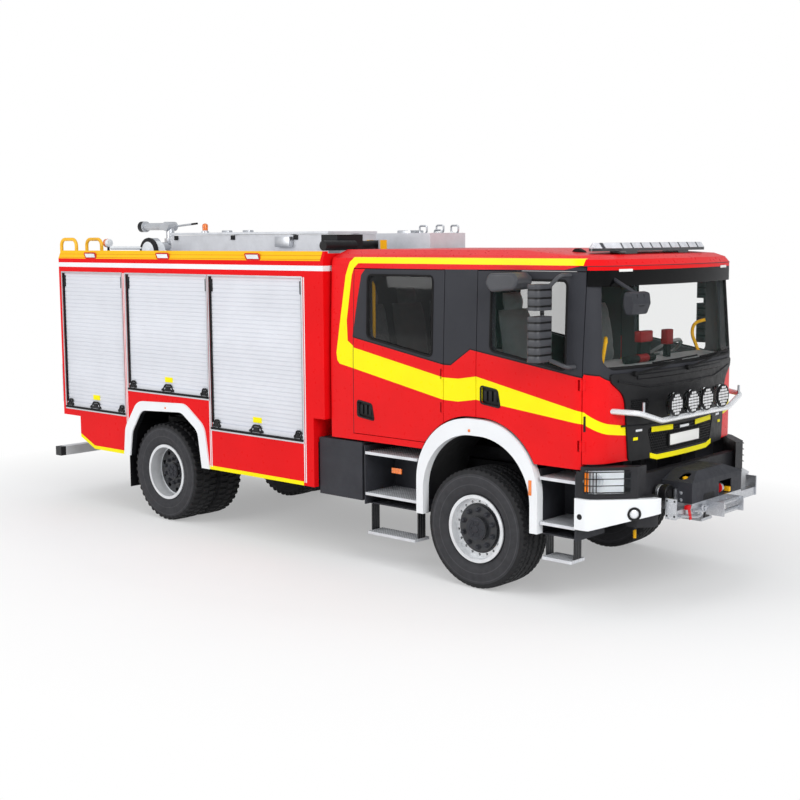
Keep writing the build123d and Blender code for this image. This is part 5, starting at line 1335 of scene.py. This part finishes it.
FLOOR_TOP = 1.46
SEAT_PITCH = (CAB_HALF - 0.070) / 2
SEAT_W = SEAT_PITCH - 0.11
# Station of each row, and the places across it in seat pitches
SEATS = ((0.06, (-1.14, 1.14)), (-1.53, (-1.5, -0.5, 0.5, 1.5)))
bm, stands = meshes(2)
for station, places in SEATS:
    for share in places:
        middle = share * SEAT_PITCH
        cushion(bm, leaning(at(station + 0.20, middle, FLOOR_TOP + 0.34), -3), SEAT_W, 0.46, 0.13, 4)
        cushion(bm, leaning(at(station - 0.03, middle, FLOOR_TOP + 0.70), 80), SEAT_W, 0.60, 0.10, 6, 0.03)
        cushion(bm, leaning(at(station - 0.085, middle, FLOOR_TOP + 1.05), 82), 0.28, 0.17, 0.08, 0, 0.02)
        foot = at(station + 0.03, middle - 0.20, FLOOR_TOP + 0.002)
        block(stands, foot, at(station + 0.40, middle + 0.20, FLOOR_TOP + 0.27), 0.02)
        for y in (middle - 0.06, middle + 0.06):
            foot = at(station - 0.06, y, FLOOR_TOP + 0.95)
            rod(stands, foot, at(station - 0.08, y, FLOOR_TOP + 1.02), 0.008)
cushions = piece("seat_cushions", bm, cloth("seat_cloth", srgb(112, 118, 119)), angle=60)
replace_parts(cushions, "seats")
piece("seat_stands", stands, black_plastic)

# Camera at the photograph's angle
YAW, PITCH, ROLL = (math.radians(angle) for angle in (41.93, 7.10, -0.33))
scene = bpy.context.scene
camera_data = bpy.data.cameras.new("camera")
camera_data.sensor_width = 36.0
camera_data.lens = 58.37
camera_data.clip_end = 200
camera = bpy.data.objects.new("camera", camera_data)
scene.collection.objects.link(camera)
ahead = Vector((-math.sin(YAW) * math.cos(PITCH), math.cos(YAW) * math.cos(PITCH), -math.sin(PITCH)))
right = Vector((math.cos(YAW), math.sin(YAW), 0))
upward = right.cross(ahead)
level = math.cos(ROLL) * right + math.sin(ROLL) * upward
plumb = math.cos(ROLL) * upward - math.sin(ROLL) * right
turned = Matrix((level, plumb, -ahead)).transposed().to_4x4()
camera.matrix_world = Matrix.Translation(at(6.979, -9.952, 3.074)) @ turned
scene.camera = camera

# Floor that keeps a soft shadow near the truck and runs into the white background further out
bm = bmesh.new()
bmesh.ops.create_grid(bm, x_segments=1, y_segments=1, size=60)
floor_mesh = bpy.data.meshes.new("floor")
bm.to_mesh(floor_mesh)
bm.free()
floor = bpy.data.objects.new("floor", floor_mesh)
floor.location.z = -0.002
scene.collection.objects.link(floor)
ground = Graph("floor_finish", Roughness=0.9, Specular_IOR_Level=0.1)
ground.colour(ground.tint((0.86, 0.86, 0.86, 1), 0.5, 0.01))
nodes, links = ground.tree.nodes, ground.tree.links
far = nodes.new("ShaderNodeVectorMath")
far.operation = "LENGTH"
ground.put(far.inputs[0], ground.scaled((0.75, 1.0, 1.0)))
glow = nodes.new("ShaderNodeEmission")
paths = nodes.new("ShaderNodeLightPath").outputs
seen = ground.any(paths["Is Camera Ray"], paths["Is Glossy Ray"], paths["Is Transmission Ray"])
share = ground.math("MULTIPLY", seen, ground.ramp(far.outputs["Value"], 3.0, 5.5, 0.35, 1.0))
mixer = nodes.new("ShaderNodeMixShader")
for socket, source in zip(mixer.inputs, (share, ground.shader.outputs[0], glow.outputs[0])):
    links.new(source, socket)
links.new(mixer.outputs[0], nodes["Material Output"].inputs["Surface"])
floor_mesh.materials.append(ground.material)

# Soft studio light: an even world, white where it is seen, and three large soft boxes
world = bpy.data.worlds.new("studio")
world.use_nodes = True
scene.world = world
nodes, links = world.node_tree.nodes, world.node_tree.links
ambient = nodes["Background"]
ambient.inputs["Color"].default_value = (0.95, 0.97, 1.0, 1)
ambient.inputs["Strength"].default_value = 0.55
backdrop = nodes.new("ShaderNodeBackground")
backdrop.inputs["Color"].default_value = (1, 1, 1, 1)
paths = nodes.new("ShaderNodeLightPath").outputs
seen = nodes.new("ShaderNodeMath")
seen.operation = "MAXIMUM"
links.new(paths["Is Camera Ray"], seen.inputs[0])
links.new(paths["Is Transmission Ray"], seen.inputs[1])
mixer = nodes.new("ShaderNodeMixShader")
for socket, source in zip(mixer.inputs, (seen, ambient, backdrop)):
    links.new(source.outputs[0], socket)
links.new(mixer.outputs[0], nodes["World Output"].inputs["Surface"])

LIGHTS = (
    ("key", (11.0, -5.0, 6.5), 6.0, 620),
    ("side", (-4.0, -11.0, 6.0), 7.0, 520),
    ("top", (0.0, 0.0, 11.0), 9.0, 220),
)
AIM = Vector((0, 0, 1.4))
for name, place, size, power in LIGHTS:
    lamp = bpy.data.lights.new(name, "AREA")
    lamp.size = size
    lamp.energy = power
    made = bpy.data.objects.new(name, lamp)
    made.location = place
    made.rotation_euler = (AIM - Vector(place)).to_track_quat("-Z", "Y").to_euler()
    scene.collection.objects.link(made)

scene.view_settings.view_transform = "Standard"
